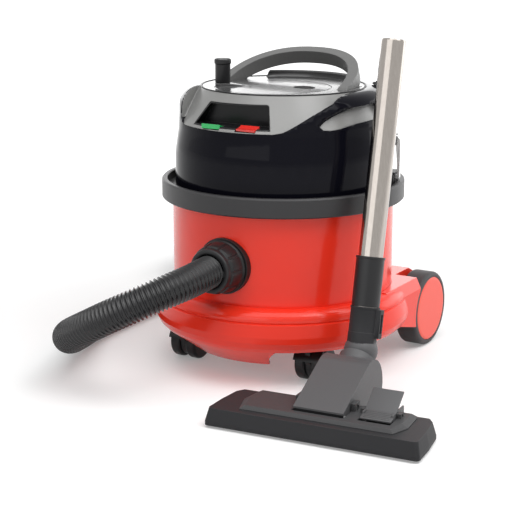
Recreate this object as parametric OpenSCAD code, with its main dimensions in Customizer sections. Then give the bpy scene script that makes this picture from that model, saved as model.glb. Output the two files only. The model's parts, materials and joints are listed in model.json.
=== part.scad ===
// Commercial tub vacuum cleaner with cable winder, hose, wand section and floor tool.
// Frame: X to the machine's right, -Y to its front (the hose inlet), Z up.
// The origin is the point on the floor below the drum's axis.

/* [Drum] */
// Outside diameter of the drum
drum_d = 310; // [300:1:320]
// Wall of the drum
drum_wall = 4; // [3:0.5:5]
// Height of the drum's underside above the floor
drum_base_z = 72; // [70:1:76]
// Height of the drum's rim above the floor
drum_rim_z = 244; // [238:1:252]

/* [Bumper ring] */
// Outside diameter of the bumper ring
ring_d = 340; // [334:1:346]
// Height of the bumper ring's outside face
ring_h = 26.5; // [24:0.5:30]
// Depth of the gutter between the ring and the motor head
gutter_depth = 12; // [9:0.5:14]

/* [Chassis] */
// Radius of the skirt where it is widest
skirt_r = 180.5; // [179:0.5:182]
// Height of the skirt's lower edge
skirt_z = 52; // [51.5:0.5:54]
// Height of the shoulder where the drum comes out
shoulder_z = 109; // [104:1:112]
// Height of the deck over the rear wheels
deck_z = 110; // [108:1:112]
// Half width of the chassis at its side walls
side_x = 171; // [170:0.5:173]
// Rearmost face of the chassis
rear_y = 190; // [186:1:194]
// Wall of the chassis
chassis_wall = 4; // [3:0.5:5]
// Half width of the front lip
lip_half_w = 78; // [66:1:80]
// Height of the front lip's lower edge
lip_z = 23; // [22:1:30]

/* [Rear wheels] */
// Diameter of a rear wheel over its tyre
wheel_d = 108; // [100:1:109]
// Width of a rear wheel
wheel_w = 33; // [28:1:35]
// Distance of the wheel's outer face from the middle
wheel_face_x = 168; // [167:1:170]
// Place of the rear axle behind the drum's axis
axle_y = 144; // [140:1:148]
// Diameter of the rear axle
axle_d = 10; // [8:0.5:12]
// Thickness of the tyre's rubber
tyre_t = 8; // [6:0.5:10]

/* [Castors] */
// Sideways place of the castor stems
castor_x = 101; // [96:1:106]
// Forward place of the castor stems
castor_y = -104; // [-108:1:-100]
// Distance from the stem to the castor's axle
castor_trail = 18; // [14:1:20]
// Diameter of the castor wheels
castor_d = 48; // [46:0.5:48]
// Width of one castor wheel
castor_w = 16; // [12:0.5:17]
// Gap between the two wheels of a castor
castor_gap = 9; // [8:0.5:10]
// Diameter of the castor stem
stem_d = 8; // [6:0.5:9]

/* [Motor head] */
// Outside diameter of the head above the gutter
head_d = 302; // [298:1:304]
// Height of the head's top
head_top_z = 386; // [380:1:392]
// Margin of the flat top outside the carry handle's feet
deck_margin = 12; // [11:0.5:14]
// Wall of the head cover
head_wall = 3.5; // [3:0.25:4]
// Height of the lower edge of the slanted front panel
fascia_z = 339; // [336:1:342]

/* [Switch tray] */
// Left end of the switch tray
tray_x0 = -66; // [-68:1:-60]
// Right end of the switch tray
tray_x1 = 56; // [52:1:58]
// Distance of the switch tray's back wall from the drum's axis
tray_y = 104; // [103:1:108]
// Height of the tray's floor
tray_z = 342.5; // [341.5:0.5:345]

/* [Cable winder] */
// Radius of the winder disc
disc_r = 80; // [79:0.5:81]
// Sideways place of the winder's axis
disc_x = -2; // [-4:1:2]
// Forward place of the winder's axis
disc_y = -25; // [-28:1:-22]
// Diameter of the crank knob
knob_d = 22; // [20:0.5:22.5]
// Height of the crank knob above the disc
knob_h = 33; // [28:1:34]

/* [Carry handle] */
// Half width of the handle's opening
grip_half_w = 88; // [87:0.5:88.5]
// Length of the handle's opening
grip_len = 94; // [88:1:98]
// Thickness of the handle's band
band_t = 14; // [12:0.5:14.5]
// Depth of the handle's band
band_depth = 19; // [16:0.5:20]
// Angle at which the folded handle leans back
handle_lean = 67; // [64:1:68]

/* [Inlet] */
// Height of the hose inlet
inlet_z = 162; // [158:1:168]
// Radius of the inlet flange
flange_r = 38; // [36:1:42]
// Length of the locking nut on the hose
nut_len = 34; // [28:1:38]
// Number of grips on the locking nut
nut_grips = 10; // [8:1:12]

/* [Hose] */
// Outside diameter of the hose over its ribs
hose_d = 44; // [42:1:44]
// Bore of the hose
hose_bore = 34; // [32:1:36]
// Height of the ribs
rib_h = 2.4; // [1.5:0.1:3]
// Number of ribs on the hose
rib_count = 200; // [120:4:200]
// Radius of the coil that the spare hose lies in
coil_r = 155; // [145:1:165]
// Turns of the coil
coil_turns = 1.2; // [1.1:0.05:1.3]

/* [Wand] */
// Outside diameter of the steel tubes
tube_d = 32; // [30:0.5:32]
// Wall of the steel tubes
tube_wall = 0.9; // [0.8:0.1:1.2]
// Length of the wand section
wand_len = 376; // [300:1:500]
// Angle at which the wand leans back from upright
wand_lean = 14; // [10:1:18]
// Outside diameter of the wand's sleeve
sleeve_d = 36.5; // [36:0.5:38]

/* [Floor tool] */
// Width of the floor tool
tool_w = 280; // [260:2:300]
// Depth of the floor tool
tool_l = 89; // [86:1:96]
// Height of the floor tool's lower body
tool_h = 25; // [24:0.5:27]
// Height of the raised cover above the lower body
cover_h = 5; // [4:0.5:6]
// Angle of the floor tool to the machine
tool_yaw = 5.5; // [0:0.5:10]
// Sideways place of the middle of the tool's front edge
tool_x = 209; // [205:1:220]
// Forward place of the middle of the tool's front edge
tool_y = -303; // [-320:1:-300]
// Half width of the neck
neck_half_w = 33; // [30:1:34]
// Radius of the neck's round back
neck_r = 39; // [36:1:40]

/* [Hidden] */
$fn = 96;
fit = 0.06;          // radial running fit of a pin in its bore
gap = 0.3;           // clearance between curved faces on different bodies
drum_r = drum_d / 2;
drum_in = drum_r - drum_wall;
ring_r = ring_d / 2;
ring_top_z = drum_rim_z + 3 + gutter_depth;
ring_z = ring_top_z - ring_h;
ledge_z = drum_rim_z + 3;
head_r = head_d / 2;
head_z = ledge_z + 3 + gap;
floor_z = drum_base_z - chassis_wall;
wheel_r = wheel_d / 2;
axle_r = axle_d / 2;
hub_r = wheel_r - tyre_t;
pocket_x = wheel_face_x - wheel_w - 4;
castor_r = castor_d / 2;
stem_r = stem_d / 2;
knob_angle = 209.7;  // where the knob stands on the disc at rest
crank_r = disc_r - knob_d / 2;
knob_x = disc_x + crank_r * cos(knob_angle);
knob_y = disc_y + crank_r * sin(knob_angle);
disc_z = head_top_z - 5;
handle_y = -1;
handle_z = head_top_z - 6;
hose_r = hose_d / 2;
top_r = grip_half_w + band_t + deck_margin;  // radius of the head's flat top
tube_r = tube_d / 2;
latch_turn = 18;     // angle of each latch behind the machine's middle
flange_y = drum_r + 5;
wheel_sides = [-1, 1];

// Points of an arc about [cx, cy] from angle a0 to a1
function arc(cx, cy, r, a0, a1, n = 10) =
    [for (i = [0:n]) let (a = a0 + (a1 - a0) * i / n) [cx + r * cos(a), cy + r * sin(a)]];

// A cylinder along X whose ends lie at x0 and x1
module bar_x(x0, x1, r, y = 0, z = 0) {
    translate([x0, y, z]) rotate([0, 90, 0]) cylinder(h = x1 - x0, r = r);
}

// A cylinder along Y whose ends lie at y0 and y1
module bar_y(y0, y1, r, x = 0, z = 0) {
    translate([x, y1, z]) rotate([90, 0, 0]) cylinder(h = y1 - y0, r = r);
}

// A tube of revolution along Z
module ring(r_out, r_in, z0, z1) {
    difference() {
        translate([0, 0, z0]) cylinder(h = z1 - z0, r = r_out);
        translate([0, 0, z0 - 1]) cylinder(h = z1 - z0 + 2, r = r_in);
    }
}

// A box given by its lowest and highest corners
module block(a, b) {
    translate(a) cube(b - a);
}

// ---------- chassis and drum ----------

skirt_bead = 15;     // radius of the rounded shoulder
screw_r = 4;         // radius of the screw heads
drum_screw_r = 110;  // radius of the circle on which the drum screws lie

lip_r = skirt_r - 48.5;   // radius of the front lip's lower edge
castor_reach = 54;   // radius kept free round a castor's stem
fender_y = 100;      // rear end of the sides in front of the wheels
bevel = 7;           // width of the bevel along the tops of the sides
side_z = shoulder_z - skirt_bead + 1;

module chassis_form() {
    w = chassis_wall;
    bead_z = shoulder_z - skirt_bead;
    seat_r = drum_r + gap;
    rotate_extrude() polygon(concat(
        [[0, floor_z], [seat_r + w, floor_z], [seat_r + w, bead_z - 6], [skirt_r - w - 2, bead_z - 6],
         [skirt_r - w, skirt_z + 20], [skirt_r - w - 3, skirt_z + 8], [skirt_r - w - 9, skirt_z + 2],
         [skirt_r - 9, skirt_z], [skirt_r - 3.5, skirt_z + 6], [skirt_r, skirt_z + 14],
         [skirt_r, skirt_z + 22], [skirt_r - 3, bead_z - 3], [skirt_r - 5.5, bead_z - 2]],
        arc(drum_r + 6, bead_z, skirt_bead, 0, 90, 8),
        [[seat_r, shoulder_z], [seat_r, drum_base_z], [0, drum_base_z]]));
    // front lip that slopes in below the skirt, open round the castors
    difference() {
        intersection() {
            rotate_extrude() polygon([[skirt_r - 9, skirt_z], [lip_r, lip_z], [lip_r - w, lip_z],
                [lip_r - w, lip_z + 3], [skirt_r - w - 9, skirt_z + 4], [skirt_r - 7, skirt_z + 4]]);
            block([-lip_half_w, -skirt_r, 0], [lip_half_w, 0, skirt_z + 4]);
        }
        for (s = wheel_sides) translate([s * castor_x, castor_y, -1])
            cylinder(h = skirt_z + 1, r = castor_reach);
    }
}

// Sides in front of the wheels, with bevelled tops, drawn in by t
module fender_form(t) {
    foot = skirt_z + (t > 0 ? -1 : 2);
    translate([0, fender_y - t, 0]) rotate([90, 0, 0]) linear_extrude(fender_y - 2 * t) polygon([
        [-side_x + t, foot], [side_x - t, foot], [side_x - t, side_z], [side_x - bevel - t, deck_z - t],
        [-side_x + bevel + t, deck_z - t], [-side_x + t, side_z]]);
}

// Body between the wheels, falling away towards the rear, drawn in by t
module tail_form(t) {
    foot = skirt_z + (t > 0 ? -1 : 2);
    half = pocket_x - 1 - t;
    translate([-half, 0, 0]) rotate([90, 0, 90]) linear_extrude(2 * half) polygon([
        [fender_y - 10 + t, foot], [rear_y - t, foot], [rear_y - t, deck_z - 22 - t],
        [axle_y + 2, deck_z - t], [fender_y - 10 + t, deck_z - t]]);
}

module rear_form() {
    w = chassis_wall;
    difference() {
        union() {
            fender_form(0);
            tail_form(0);
        }
        fender_form(w);
        tail_form(w);
        // room for the drum seat
        translate([0, 0, skirt_z - 1]) cylinder(h = 99, r = drum_r + gap);
    }
    for (s = wheel_sides) {
        // arch in front of the wheel
        intersection() {
            bar_x(min(s * (pocket_x - 1), s * side_x), max(s * (pocket_x - 1), s * side_x),
                wheel_r + 4 + w, axle_y, wheel_r);
            block([-side_x, axle_y - wheel_r - 9, skirt_z + 2], [side_x, fender_y, side_z]);
        }
        // side wall that reaches lower beside the wheel
        translate([min(s * side_x, s * (side_x - w)), 0, 0]) rotate([90, 0, 90]) linear_extrude(w) polygon([
            [34, skirt_z + 2.5], [44, skirt_z - 0.5], [86, skirt_z - 11.5], [fender_y, skirt_z - 11.5],
            [fender_y, skirt_z + 9], [34, skirt_z + 9]]);
    }
}

module chassis() {
    color("#d8301f") difference() {
        union() {
            chassis_form();
            rear_form();
            // castor sockets under the floor
            for (s = wheel_sides) translate([s * castor_x, castor_y, castor_d + 5])
                cylinder(h = floor_z - castor_d - 4, r = stem_r + 7);
            // axle tube between the wheel pockets
            bar_x(-pocket_x, pocket_x, axle_r + 5, axle_y, wheel_r);
        }
        for (s = wheel_sides) {
            bar_x(min(s * pocket_x, s * (side_x + 5)), max(s * pocket_x, s * (side_x + 5)),
                wheel_r + 4, axle_y, wheel_r);
            translate([s * castor_x, castor_y, castor_d])
                cylinder(h = floor_z + 2 - castor_d, r = stem_r + fit);
        }
        bar_x(-side_x, side_x, axle_r, axle_y, wheel_r);
        // the seat stays open for the drum
        translate([0, 0, drum_base_z]) cylinder(h = 99, r = drum_r + gap);
        for (a = [45:90:315]) rotate(a) translate([drum_screw_r, 0, floor_z - 1])
            cylinder(h = chassis_wall + 2, r = screw_r / 2 + 0.2);
    }
}

module drum() {
    corner = 12;
    color("#e0402e") difference() {
        rotate_extrude() polygon(concat(
            [[0, drum_base_z]], arc(drum_r - corner, drum_base_z + corner, corner, -90, 0, 6),
            [[drum_r, drum_rim_z], [drum_in, drum_rim_z]],
            arc(drum_in - corner, drum_base_z + drum_wall + corner, corner, 0, -90, 6),
            [[0, drum_base_z + drum_wall]]));
        bar_y(-drum_r - 5, -drum_r + 30, 27, 0, inlet_z);
        for (a = [45:90:315]) rotate(a) translate([drum_screw_r, 0, drum_base_z - 1])
            cylinder(h = drum_wall + 2, r = screw_r / 2);
    }
}

module drum_screws() {
    color("silver") for (a = [45:90:315]) rotate(a) translate([drum_screw_r, 0, 0]) {
        translate([0, 0, floor_z - 2.4]) cylinder(h = 2.4, r = screw_r);
        translate([0, 0, floor_z - 1]) cylinder(h = chassis_wall + drum_wall + 3, r = screw_r / 2);
    }
}

// ---------- bumper ring ----------

latch_post_r = drum_r + 2.5;  // outer face of the post that a latch hooks under

module bumper_ring() {
    color("#3a393b") {
        rotate_extrude() polygon([[drum_r, ring_z], [ring_r - 1.5, ring_z], [ring_r, ring_z + 1.5],
            [ring_r, ring_top_z - 2], [ring_r - 2, ring_top_z], [ring_r - 7, ring_top_z],
            [ring_r - 8, ring_top_z - 1.5], [ring_r - 8, ledge_z], [drum_in - 3, ledge_z],
            [drum_in - 3, ledge_z - 4], [drum_in - 0.3, ledge_z - 4], [drum_in - 0.3, drum_rim_z],
            [drum_r, drum_rim_z]]);
        // hooked posts in the gutter
        for (a = [latch_turn, 180 - latch_turn]) rotate(a) {
            intersection() {
                ring(latch_post_r, latch_post_r - 3, ledge_z - 0.5, ring_top_z + 13);
                block([0, -14, 0], [ring_r, 14, 400]);
            }
            intersection() {
                ring(latch_post_r + 2.5, latch_post_r - 0.5, ring_top_z + 9, ring_top_z + 13);
                block([0, -14, 0], [ring_r, 14, 400]);
            }
        }
    }
}

// ---------- rear wheels ----------

hub_face_x = wheel_face_x - 4.5;
clip_x = hub_face_x - 4;

module rear_axle() {
    color("silver") bar_x(-clip_x - 2.8, clip_x + 2.8, axle_r, axle_y, wheel_r);
}

module axle_clips() {
    color("silver") for (s = wheel_sides) difference() {
        bar_x(min(s * clip_x, s * (clip_x + 1.5)), max(s * clip_x, s * (clip_x + 1.5)),
            axle_r + 4, axle_y, wheel_r);
        bar_x(-side_x, side_x, axle_r, axle_y, wheel_r);
    }
}

// A wheel hub: rim, web with holes and a bored boss, for side s
module wheel_hub(s) {
    x_in = wheel_face_x - wheel_w + 1;
    color("#343436") translate([0, axle_y, wheel_r]) mirror([s < 0 ? 1 : 0, 0, 0])
        rotate([0, 90, 0]) rotate_extrude() polygon([
            [axle_r + fit, x_in - 1.5], [axle_r + 6, x_in - 1.5], [axle_r + 6, x_in + 12],
            [hub_r - 5, x_in + 12], [hub_r - 5, x_in], [hub_r, x_in], [hub_r, hub_face_x],
            [hub_r - 5, hub_face_x], [hub_r - 5, x_in + 16], [axle_r + 6, x_in + 16],
            [axle_r + 6, clip_x - gap], [axle_r + fit, clip_x - gap]]);
}

module tyre(s) {
    x_in = wheel_face_x - wheel_w;
    round_r = 5;
    color("#39393b") translate([0, axle_y, wheel_r]) mirror([s < 0 ? 1 : 0, 0, 0])
        rotate([0, 90, 0]) rotate_extrude() polygon(concat(
            [[hub_r, x_in]], arc(wheel_r - round_r, x_in + round_r, round_r, -90, 0, 6),
            arc(wheel_r - round_r, wheel_face_x - round_r, round_r, 0, 90, 6),
            [[hub_r + 0.6, wheel_face_x], [hub_r + 0.6, hub_face_x], [hub_r, hub_face_x]]));
}

module hub_disc(s) {
    color("#e0483a") translate([0, axle_y, wheel_r]) mirror([s < 0 ? 1 : 0, 0, 0])
        rotate([0, 90, 0]) rotate_extrude() polygon([
            [0, hub_face_x + 1.5], [hub_r - 7, hub_face_x + 1.5], [hub_r - 7, hub_face_x],
            [hub_r + 0.4, hub_face_x], [hub_r + 0.4, wheel_face_x - 1], [hub_r - 1, wheel_face_x],
            [hub_r - 4, wheel_face_x + 0.4], [0, wheel_face_x + 0.4]]);
}

// ---------- castors ----------

castor_pin_r = 3;

module castor_fork(s) {
    cy = castor_y + castor_trail;
    color("#2a2a2c") difference() {
        union() {
            // web between the two wheels
            bar_x(s * castor_x - castor_gap / 2 + 0.6, s * castor_x + castor_gap / 2 - 0.6,
                castor_r - 4, cy, castor_r);
            block([s * castor_x - castor_gap / 2 + 0.6, castor_y - stem_r, castor_r + 4],
                [s * castor_x + castor_gap / 2 - 0.6, cy, castor_d + 3]);
            // hood over the wheels
            intersection() {
                difference() {
                    bar_x(s * castor_x - castor_gap / 2 - castor_w, s * castor_x + castor_gap / 2 + castor_w,
                        castor_r + 3.2, cy, castor_r);
                    bar_x(s * castor_x - castor_d, s * castor_x - castor_gap / 2 + 0.6,
                        castor_r + 1.2, cy, castor_r);
                    bar_x(s * castor_x + castor_gap / 2 - 0.6, s * castor_x + castor_d,
                        castor_r + 1.2, cy, castor_r);
                }
                block([s * castor_x - castor_d, cy - castor_r - 6, castor_r + 8],
                    [s * castor_x + castor_d, cy + 10, castor_d + 9]);
            }
            // stem with its collar
            translate([s * castor_x, castor_y, castor_d + 1.5]) cylinder(h = 3.2, r = stem_r + 4);
            translate([s * castor_x, castor_y, castor_r + 8])
                cylinder(h = floor_z - castor_r - 8, r = stem_r);
        }
        bar_x(s * castor_x - castor_d, s * castor_x + castor_d, castor_pin_r + fit, cy, castor_r);
    }
}

module castor_wheels(s) {
    cy = castor_y + castor_trail;
    color("#1c1c1e") for (t = wheel_sides) translate([s * castor_x, cy, castor_r])
        mirror([t < 0 ? 1 : 0, 0, 0]) rotate([0, 90, 0]) rotate_extrude() polygon(concat(
            [[castor_pin_r, castor_gap / 2]],
            arc(castor_r - 4, castor_gap / 2 + 4, 4, -90, 0, 5),
            arc(castor_r - 4, castor_gap / 2 + castor_w - 4, 4, 0, 90, 5),
            [[castor_pin_r, castor_gap / 2 + castor_w]]));
}

module castor_axle(s) {
    reach = castor_gap / 2 + castor_w;
    color("silver") bar_x(s * castor_x - reach, s * castor_x + reach, castor_pin_r,
        castor_y + castor_trail, castor_r);
}

// ---------- filter and bag ----------

filter_r = drum_in - 11;
filter_depth = 50;   // depth of the filter below the drum's rim

module filter_frame() {
    color("#4a4a4c") rotate_extrude() polygon([
        [filter_r - 5, ledge_z - 4], [filter_r, ledge_z - 4], [filter_r, ledge_z],
        [head_r - 0.5, ledge_z], [head_r - 0.5, ledge_z + 3], [filter_r - 5, ledge_z + 3]]);
}

module filter_cloth() {
    top = [filter_r - 6.6, ledge_z + 3];
    foot = [filter_r * 0.7, ledge_z - filter_depth];
    color("#e8e6e0") rotate_extrude() polygon([
        [0, foot[1] - 1.6], foot - [0, 1.6], top - [0, 1.6], [filter_r - 5, ledge_z - 4],
        [filter_r - 5, ledge_z + 3], top, foot, [0, foot[1]]]);
}

bag_face_y = drum_in - 17;  // distance of the bag's flat front from the drum's axis
bag_r = drum_in - 9;
bag_top_z = ledge_z - filter_depth - 4;

module dust_bag() {
    color("#cfc7b4") difference() {
        rotate_extrude() polygon([[0, drum_base_z + drum_wall], [bag_r - 38, drum_base_z + drum_wall],
            [bag_r - 16, drum_base_z + 16], [bag_r - 2, drum_base_z + 40], [bag_r, drum_base_z + 68],
            [bag_r - 1, bag_top_z - 11], [bag_r - 12, bag_top_z - 1], [0, bag_top_z]]);
        translate([-100, -200, 0]) cube([200, 200 - bag_face_y, 400]);
        bar_y(-200, -bag_face_y + 30, 24, 0, inlet_z);
    }
}

module bag_collar() {
    w = 30;
    color("#b89a6a") difference() {
        block([-w, -bag_face_y - 3, inlet_z - w], [w, -bag_face_y, inlet_z + w - 4]);
        bar_y(-200, -100, 24, 0, inlet_z);
    }
}

// ---------- inlet and hose ----------

module inlet_flange() {
    color("#1e1e20") difference() {
        union() {
            bar_y(-flange_y, -drum_r + 10, flange_r, 0, inlet_z);
            bar_y(-flange_y, -bag_face_y - 3, 24, 0, inlet_z);
        }
        difference() {
            translate([0, 0, inlet_z - 60]) cylinder(h = 120, r = drum_r);
            bar_y(-drum_r - 9, 0, 24, 0, inlet_z);
        }
        bar_y(-200, -100, 20, 0, inlet_z);
    }
}

module locking_nut() {
    y0 = flange_y + gap;
    front_r = flange_r - 7;
    color("#161617") difference() {
        union() {
            translate([0, -y0, inlet_z]) rotate([90, 0, 0]) rotate_extrude() polygon([
                [hose_r + 0.8, 0], [flange_r - 3, 0], [flange_r - 2, 1.5], [flange_r - 3, 3],
                [front_r, nut_len - 5], [front_r, nut_len - 4], [front_r + 1.5, nut_len - 4],
                [front_r + 1.5, nut_len - 1], [front_r, nut_len], [hose_r + 0.8, nut_len]]);
            for (i = [0:nut_grips - 1]) translate([0, -y0, inlet_z])
                rotate([90, 0, 0]) rotate(i * 360 / nut_grips) translate([front_r - 1.5, -1.6, 3])
                    cube([4, 3.2, nut_len - 8]);
        }
        bar_y(-y0 - nut_len - 1, -y0 + 1, hose_r + 0.8, 0, inlet_z);
    }
}

hose_start_y = flange_y + 8;
spigot_r = hose_bore / 2 - 1.5;
nose_len = 6;  // short, so that the hose may bend just past it

module hose_spigot() {
    color("#2a2a2c") difference() {
        union() {
            bar_y(-hose_start_y, -flange_y, hose_r, 0, inlet_z);
            bar_y(-flange_y, -flange_y + 22, 20, 0, inlet_z);
            bar_y(-hose_start_y - nose_len, -hose_start_y, spigot_r, 0, inlet_z);
        }
        bar_y(-hose_start_y - nose_len - 1, 0, spigot_r - 2, 0, inlet_z);
    }
}

// Route of the hose's free stretch: out of the inlet, round to the left, down to the floor and back
HOSE = [[0, -168, 162], [0, -188, 162], [-1, -210, 160], [-6, -237, 156], [-17, -261, 150],
    [-34, -282, 141], [-55, -297, 130], [-80, -306, 117], [-106, -308, 103], [-131, -302, 90],
    [-154, -290, 78], [-173, -273, 67], [-189, -251, 57], [-205, -225, 48], [-222, -196, 40],
    [-239, -166, 32], [-254, -135, 26], [-266, -101, 22.5], [-272, -64, 22], [-275, -20, 22],
    [-277, 30, 22], [-279, 80, 22], [-282, 128, 22], [-291, 173, 22], [-305, 216, 22],
    [-318, 238, 22], [-331, 260, 22]];

// Points of the coil behind the machine: a straight lead-in, turns to the right, and a straight end
coil_start = HOSE[len(HOSE) - 1];
coil_dir = unit(coil_start - HOSE[len(HOSE) - 2]);
coil_side = [coil_dir[1], -coil_dir[0], 0];
coil_centre = coil_start + 50 * coil_dir + coil_r * coil_side;
function climb(a) = let (t = min(1, max(0, (a - 190) / 140))) (hose_d + 1) * (3 * t * t - 2 * t * t * t);
function coil_point(a) = coil_centre - coil_r * cos(a) * coil_side + coil_r * sin(a) * coil_dir
    + [0, 0, climb(a)];
function coil_heading(a) = cos(a) * coil_dir + sin(a) * coil_side;
coil_turn = coil_turns * 360;
COIL = concat([for (s = [0, 22]) coil_start + s * coil_dir],
    [for (a = [0:15:coil_turn]) coil_point(a)],
    [for (s = [22, 46]) coil_point(coil_turn) + s * coil_heading(coil_turn)]);

// A point on the smooth curve through the points p, for u from 0 to the number of spans
function held(p, i) = p[max(0, min(len(p) - 1, i))];
function on_route(p, u) = let (i = min(floor(u), len(p) - 2), t = u - i,
    a = held(p, i - 1), b = p[i], c = p[i + 1], d = held(p, i + 2))
    0.5 * (2 * b + (c - a) * t + (2 * a - 5 * b + 4 * c - d) * t * t + (3 * b - a - 3 * c + d) * t * t * t);

// Length of one span, the running total of the spans, and the point at a given length
function total(v, i = 0) = i >= len(v) ? 0 : v[i] + total(v, i + 1);
function span_len(p, i) = let (n = 6)
    total([for (k = [1:n]) norm(on_route(p, i + k / n) - on_route(p, i + (k - 1) / n))]);
function running(v, i = 0, sum = 0) = i == len(v) ? [sum] : concat([sum], running(v, i + 1, sum + v[i]));
function span_sums(p) = running([for (i = [0:len(p) - 2]) span_len(p, i)]);
function find_span(sums, s, i = 0) = (i >= len(sums) - 2 || s < sums[i + 1]) ? i : find_span(sums, s, i + 1);
function at_length(p, sums, s) = let (i = find_span(sums, s))
    on_route(p, i + (s - sums[i]) / (sums[i + 1] - sums[i]));

hose_sums = span_sums(HOSE);
coil_sums = span_sums(COIL);
hose_len = hose_sums[len(hose_sums) - 1];
coil_len = coil_sums[len(coil_sums) - 1];
hose_all = hose_len + coil_len;

// Direction of a route at length s: square to what it meets over one diameter at each end
function unit(v) = v / norm(v);
function heading(p, sums, s) = let (n = len(p), end = sums[n - 1], e = 3)
    s <= hose_d ? unit(p[1] - p[0]) : s >= end - hose_d ? unit(p[n - 1] - p[n - 2]) :
    unit(at_length(p, sums, s + e) - at_length(p, sums, s - e));

// A ring of points about a route at length s, with its corners at radius r
function ring_at(p, sums, s, r, sides) = let (c = at_length(p, sums, s),
    side = unit(cross(heading(p, sums, s), [0, 0, 1])), up = cross(side, heading(p, sums, s)))
    [for (k = [0:sides - 1]) let (a = (k + 0.5) * 360 / sides) c + r * (side * cos(a) + up * sin(a))];

// A ribbed tube with a bore along a route
module ribbed_tube(p, sums) {
    sides = 8;
    length = sums[len(sums) - 1];
    ribs = max(4, round(rib_count * length / hose_all));
    pitch = length / ribs;
    bores = ceil(length / (0.7 * hose_d));
    stations = concat([[0, hose_r - rib_h]],
        [for (i = [0:2 * ribs - 1]) [pitch * (0.25 + i / 2), i % 2 == 0 ? hose_r - 0.3 : hose_r - rib_h]],
        [[length, hose_r - rib_h]],
        [for (i = [0:bores]) [length * (1 - i / bores), hose_bore / 2]]);
    n = len(stations);
    points = [for (st = stations) each ring_at(p, sums, st[0], st[1], sides)];
    faces = [for (i = [0:n - 1]) for (k = [0:sides - 1]) let (
        a = i * sides + k, b = i * sides + (k + 1) % sides,
        c = ((i + 1) % n) * sides + k, d = ((i + 1) % n) * sides + (k + 1) % sides)
        each [[a, b, d], [a, d, c]]];
    color("#202022") polyhedron(points = points, faces = faces, convexity = 20);
}

module hose() {
    ribbed_tube(HOSE, hose_sums);
}

module hose_coil() {
    ribbed_tube(COIL, coil_sums);
    step = hose_d / 3;
    line = concat([for (s = [0:step:hose_len]) [s, at_length(HOSE, hose_sums, s)]],
        [for (s = [0:step:coil_len]) [hose_len + s, at_length(COIL, coil_sums, s)]]);
    apart = min([for (i = [0:len(line) - 1]) for (k = [i + 12:1:len(line) - 1])
        norm(line[k][1] - line[i][1])]);
    echo(hose_length_mm = hose_all, least_gap_to_itself_mm = apart - 2 * hose_r + 0.6);
}

// The frame at the hose's far end, with X along it
module at_hose_end() {
    h = coil_heading(coil_turn);
    translate(COIL[len(COIL) - 1]) rotate([0, 0, atan2(h[1], h[0])]) children();
}

cuff_len = 62;

module hose_end_cuff() {
    color("#161617") at_hose_end() rotate([0, 90, 0]) rotate_extrude() polygon([
        [hose_r + 0.3, -20], [hose_r + 1.2, -20], [hose_r + 1.2, 16], [hose_r, 18],
        [hose_r - 1, cuff_len - 10], [hose_r, cuff_len - 9], [hose_r, cuff_len], [tube_r + fit, cuff_len],
        [tube_r + fit, cuff_len - 38], [hose_bore / 2 - 2, cuff_len - 38], [hose_bore / 2 - 2, 0.3],
        [hose_r + 0.3, 0.3]]);
}

// ---------- motor ----------

fan_r = 72;
motor_r = 60;
plate_z = head_z + 1;
plate_t = 5;
shaft_r = 4;
head_screw_r = 118;
head_screw_turns = [30:60:330];

module motor_plate() {
    color("#262628") difference() {
        union() {
            ring(head_r - head_wall - 0.2, fan_r + 2, plate_z, plate_z + plate_t);
            for (a = head_screw_turns) rotate(a) translate([head_screw_r, 0, plate_z])
                cylinder(h = plate_t + 9, r = 6);
        }
        for (a = head_screw_turns) rotate(a) translate([head_screw_r, 0, plate_z - 1])
            cylinder(h = plate_t + 11, r = 2);
    }
}

module motor_seal() {
    color("#101010") ring(fan_r + 12, fan_r + 1, plate_z + plate_t, plate_z + plate_t + 3);
}

module fan_case() {
    z1 = plate_z + plate_t + 3;
    color("#9a9ca0") rotate_extrude() polygon([
        [22, z1 - 38], [fan_r, z1 - 38], [fan_r, z1], [fan_r + 12, z1], [fan_r + 12, z1 + 2],
        [fan_r - 2, z1 + 2], [fan_r - 2, z1 - 36], [22, z1 - 36]]);
}

stator_z = plate_z + plate_t + 5;
blade_r = fan_r - 8;  // radius of the fan wheel inside its case
eye_r = blade_r * 0.375;  // radius of the fan wheel's air inlet

module motor_stator() {
    color("#7d6a4a") {
        ring(fan_r - 2, shaft_r + fit, stator_z - 3, stator_z + 3);
        ring(motor_r, 42, stator_z + 2, stator_z + 46);
        ring(motor_r, shaft_r + fit, stator_z + 45, stator_z + 50);
    }
}

module motor_rotor() {
    color("#b87333") {
        translate([0, 0, stator_z - 32]) cylinder(h = 86, r = shaft_r);
        ring(38, shaft_r - 0.5, stator_z + 8, stator_z + 40);
        // fan wheel with its blades
        ring(blade_r, shaft_r - 0.5, stator_z - 12, stator_z - 10);
        ring(blade_r, eye_r, stator_z - 28, stator_z - 26);
        for (a = [0:45:315]) rotate(a) translate([eye_r + 2, -0.6, stator_z - 26.5])
            cube([blade_r - eye_r - 3, 1.2, 15]);
    }
}

module motor_cover() {
    r = fan_r + 22;
    z0 = plate_z + plate_t;
    color("#303033") difference() {
        union() {
            translate([0, 0, z0]) cylinder(h = stator_z + 58 - z0, r = r);
            translate([0, 0, z0]) cylinder(h = 3, r = r + 7);
        }
        translate([0, 0, z0 - 1]) cylinder(h = stator_z + 55.5 - z0 + 1, r = r - 2.5);
        for (a = [0:30:330]) rotate(a) translate([r - 5, -6, z0 + 10]) cube([10, 12, 22]);
    }
}

// ---------- head ----------

face_r = head_r - 5.8;    // radius of the head at the slanted panels' lower edges
fascia_slope = (face_r - top_r) / (head_top_z - fascia_z);
leaf_z = fascia_z + 2;
leaf_slope = 0.5;

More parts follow.
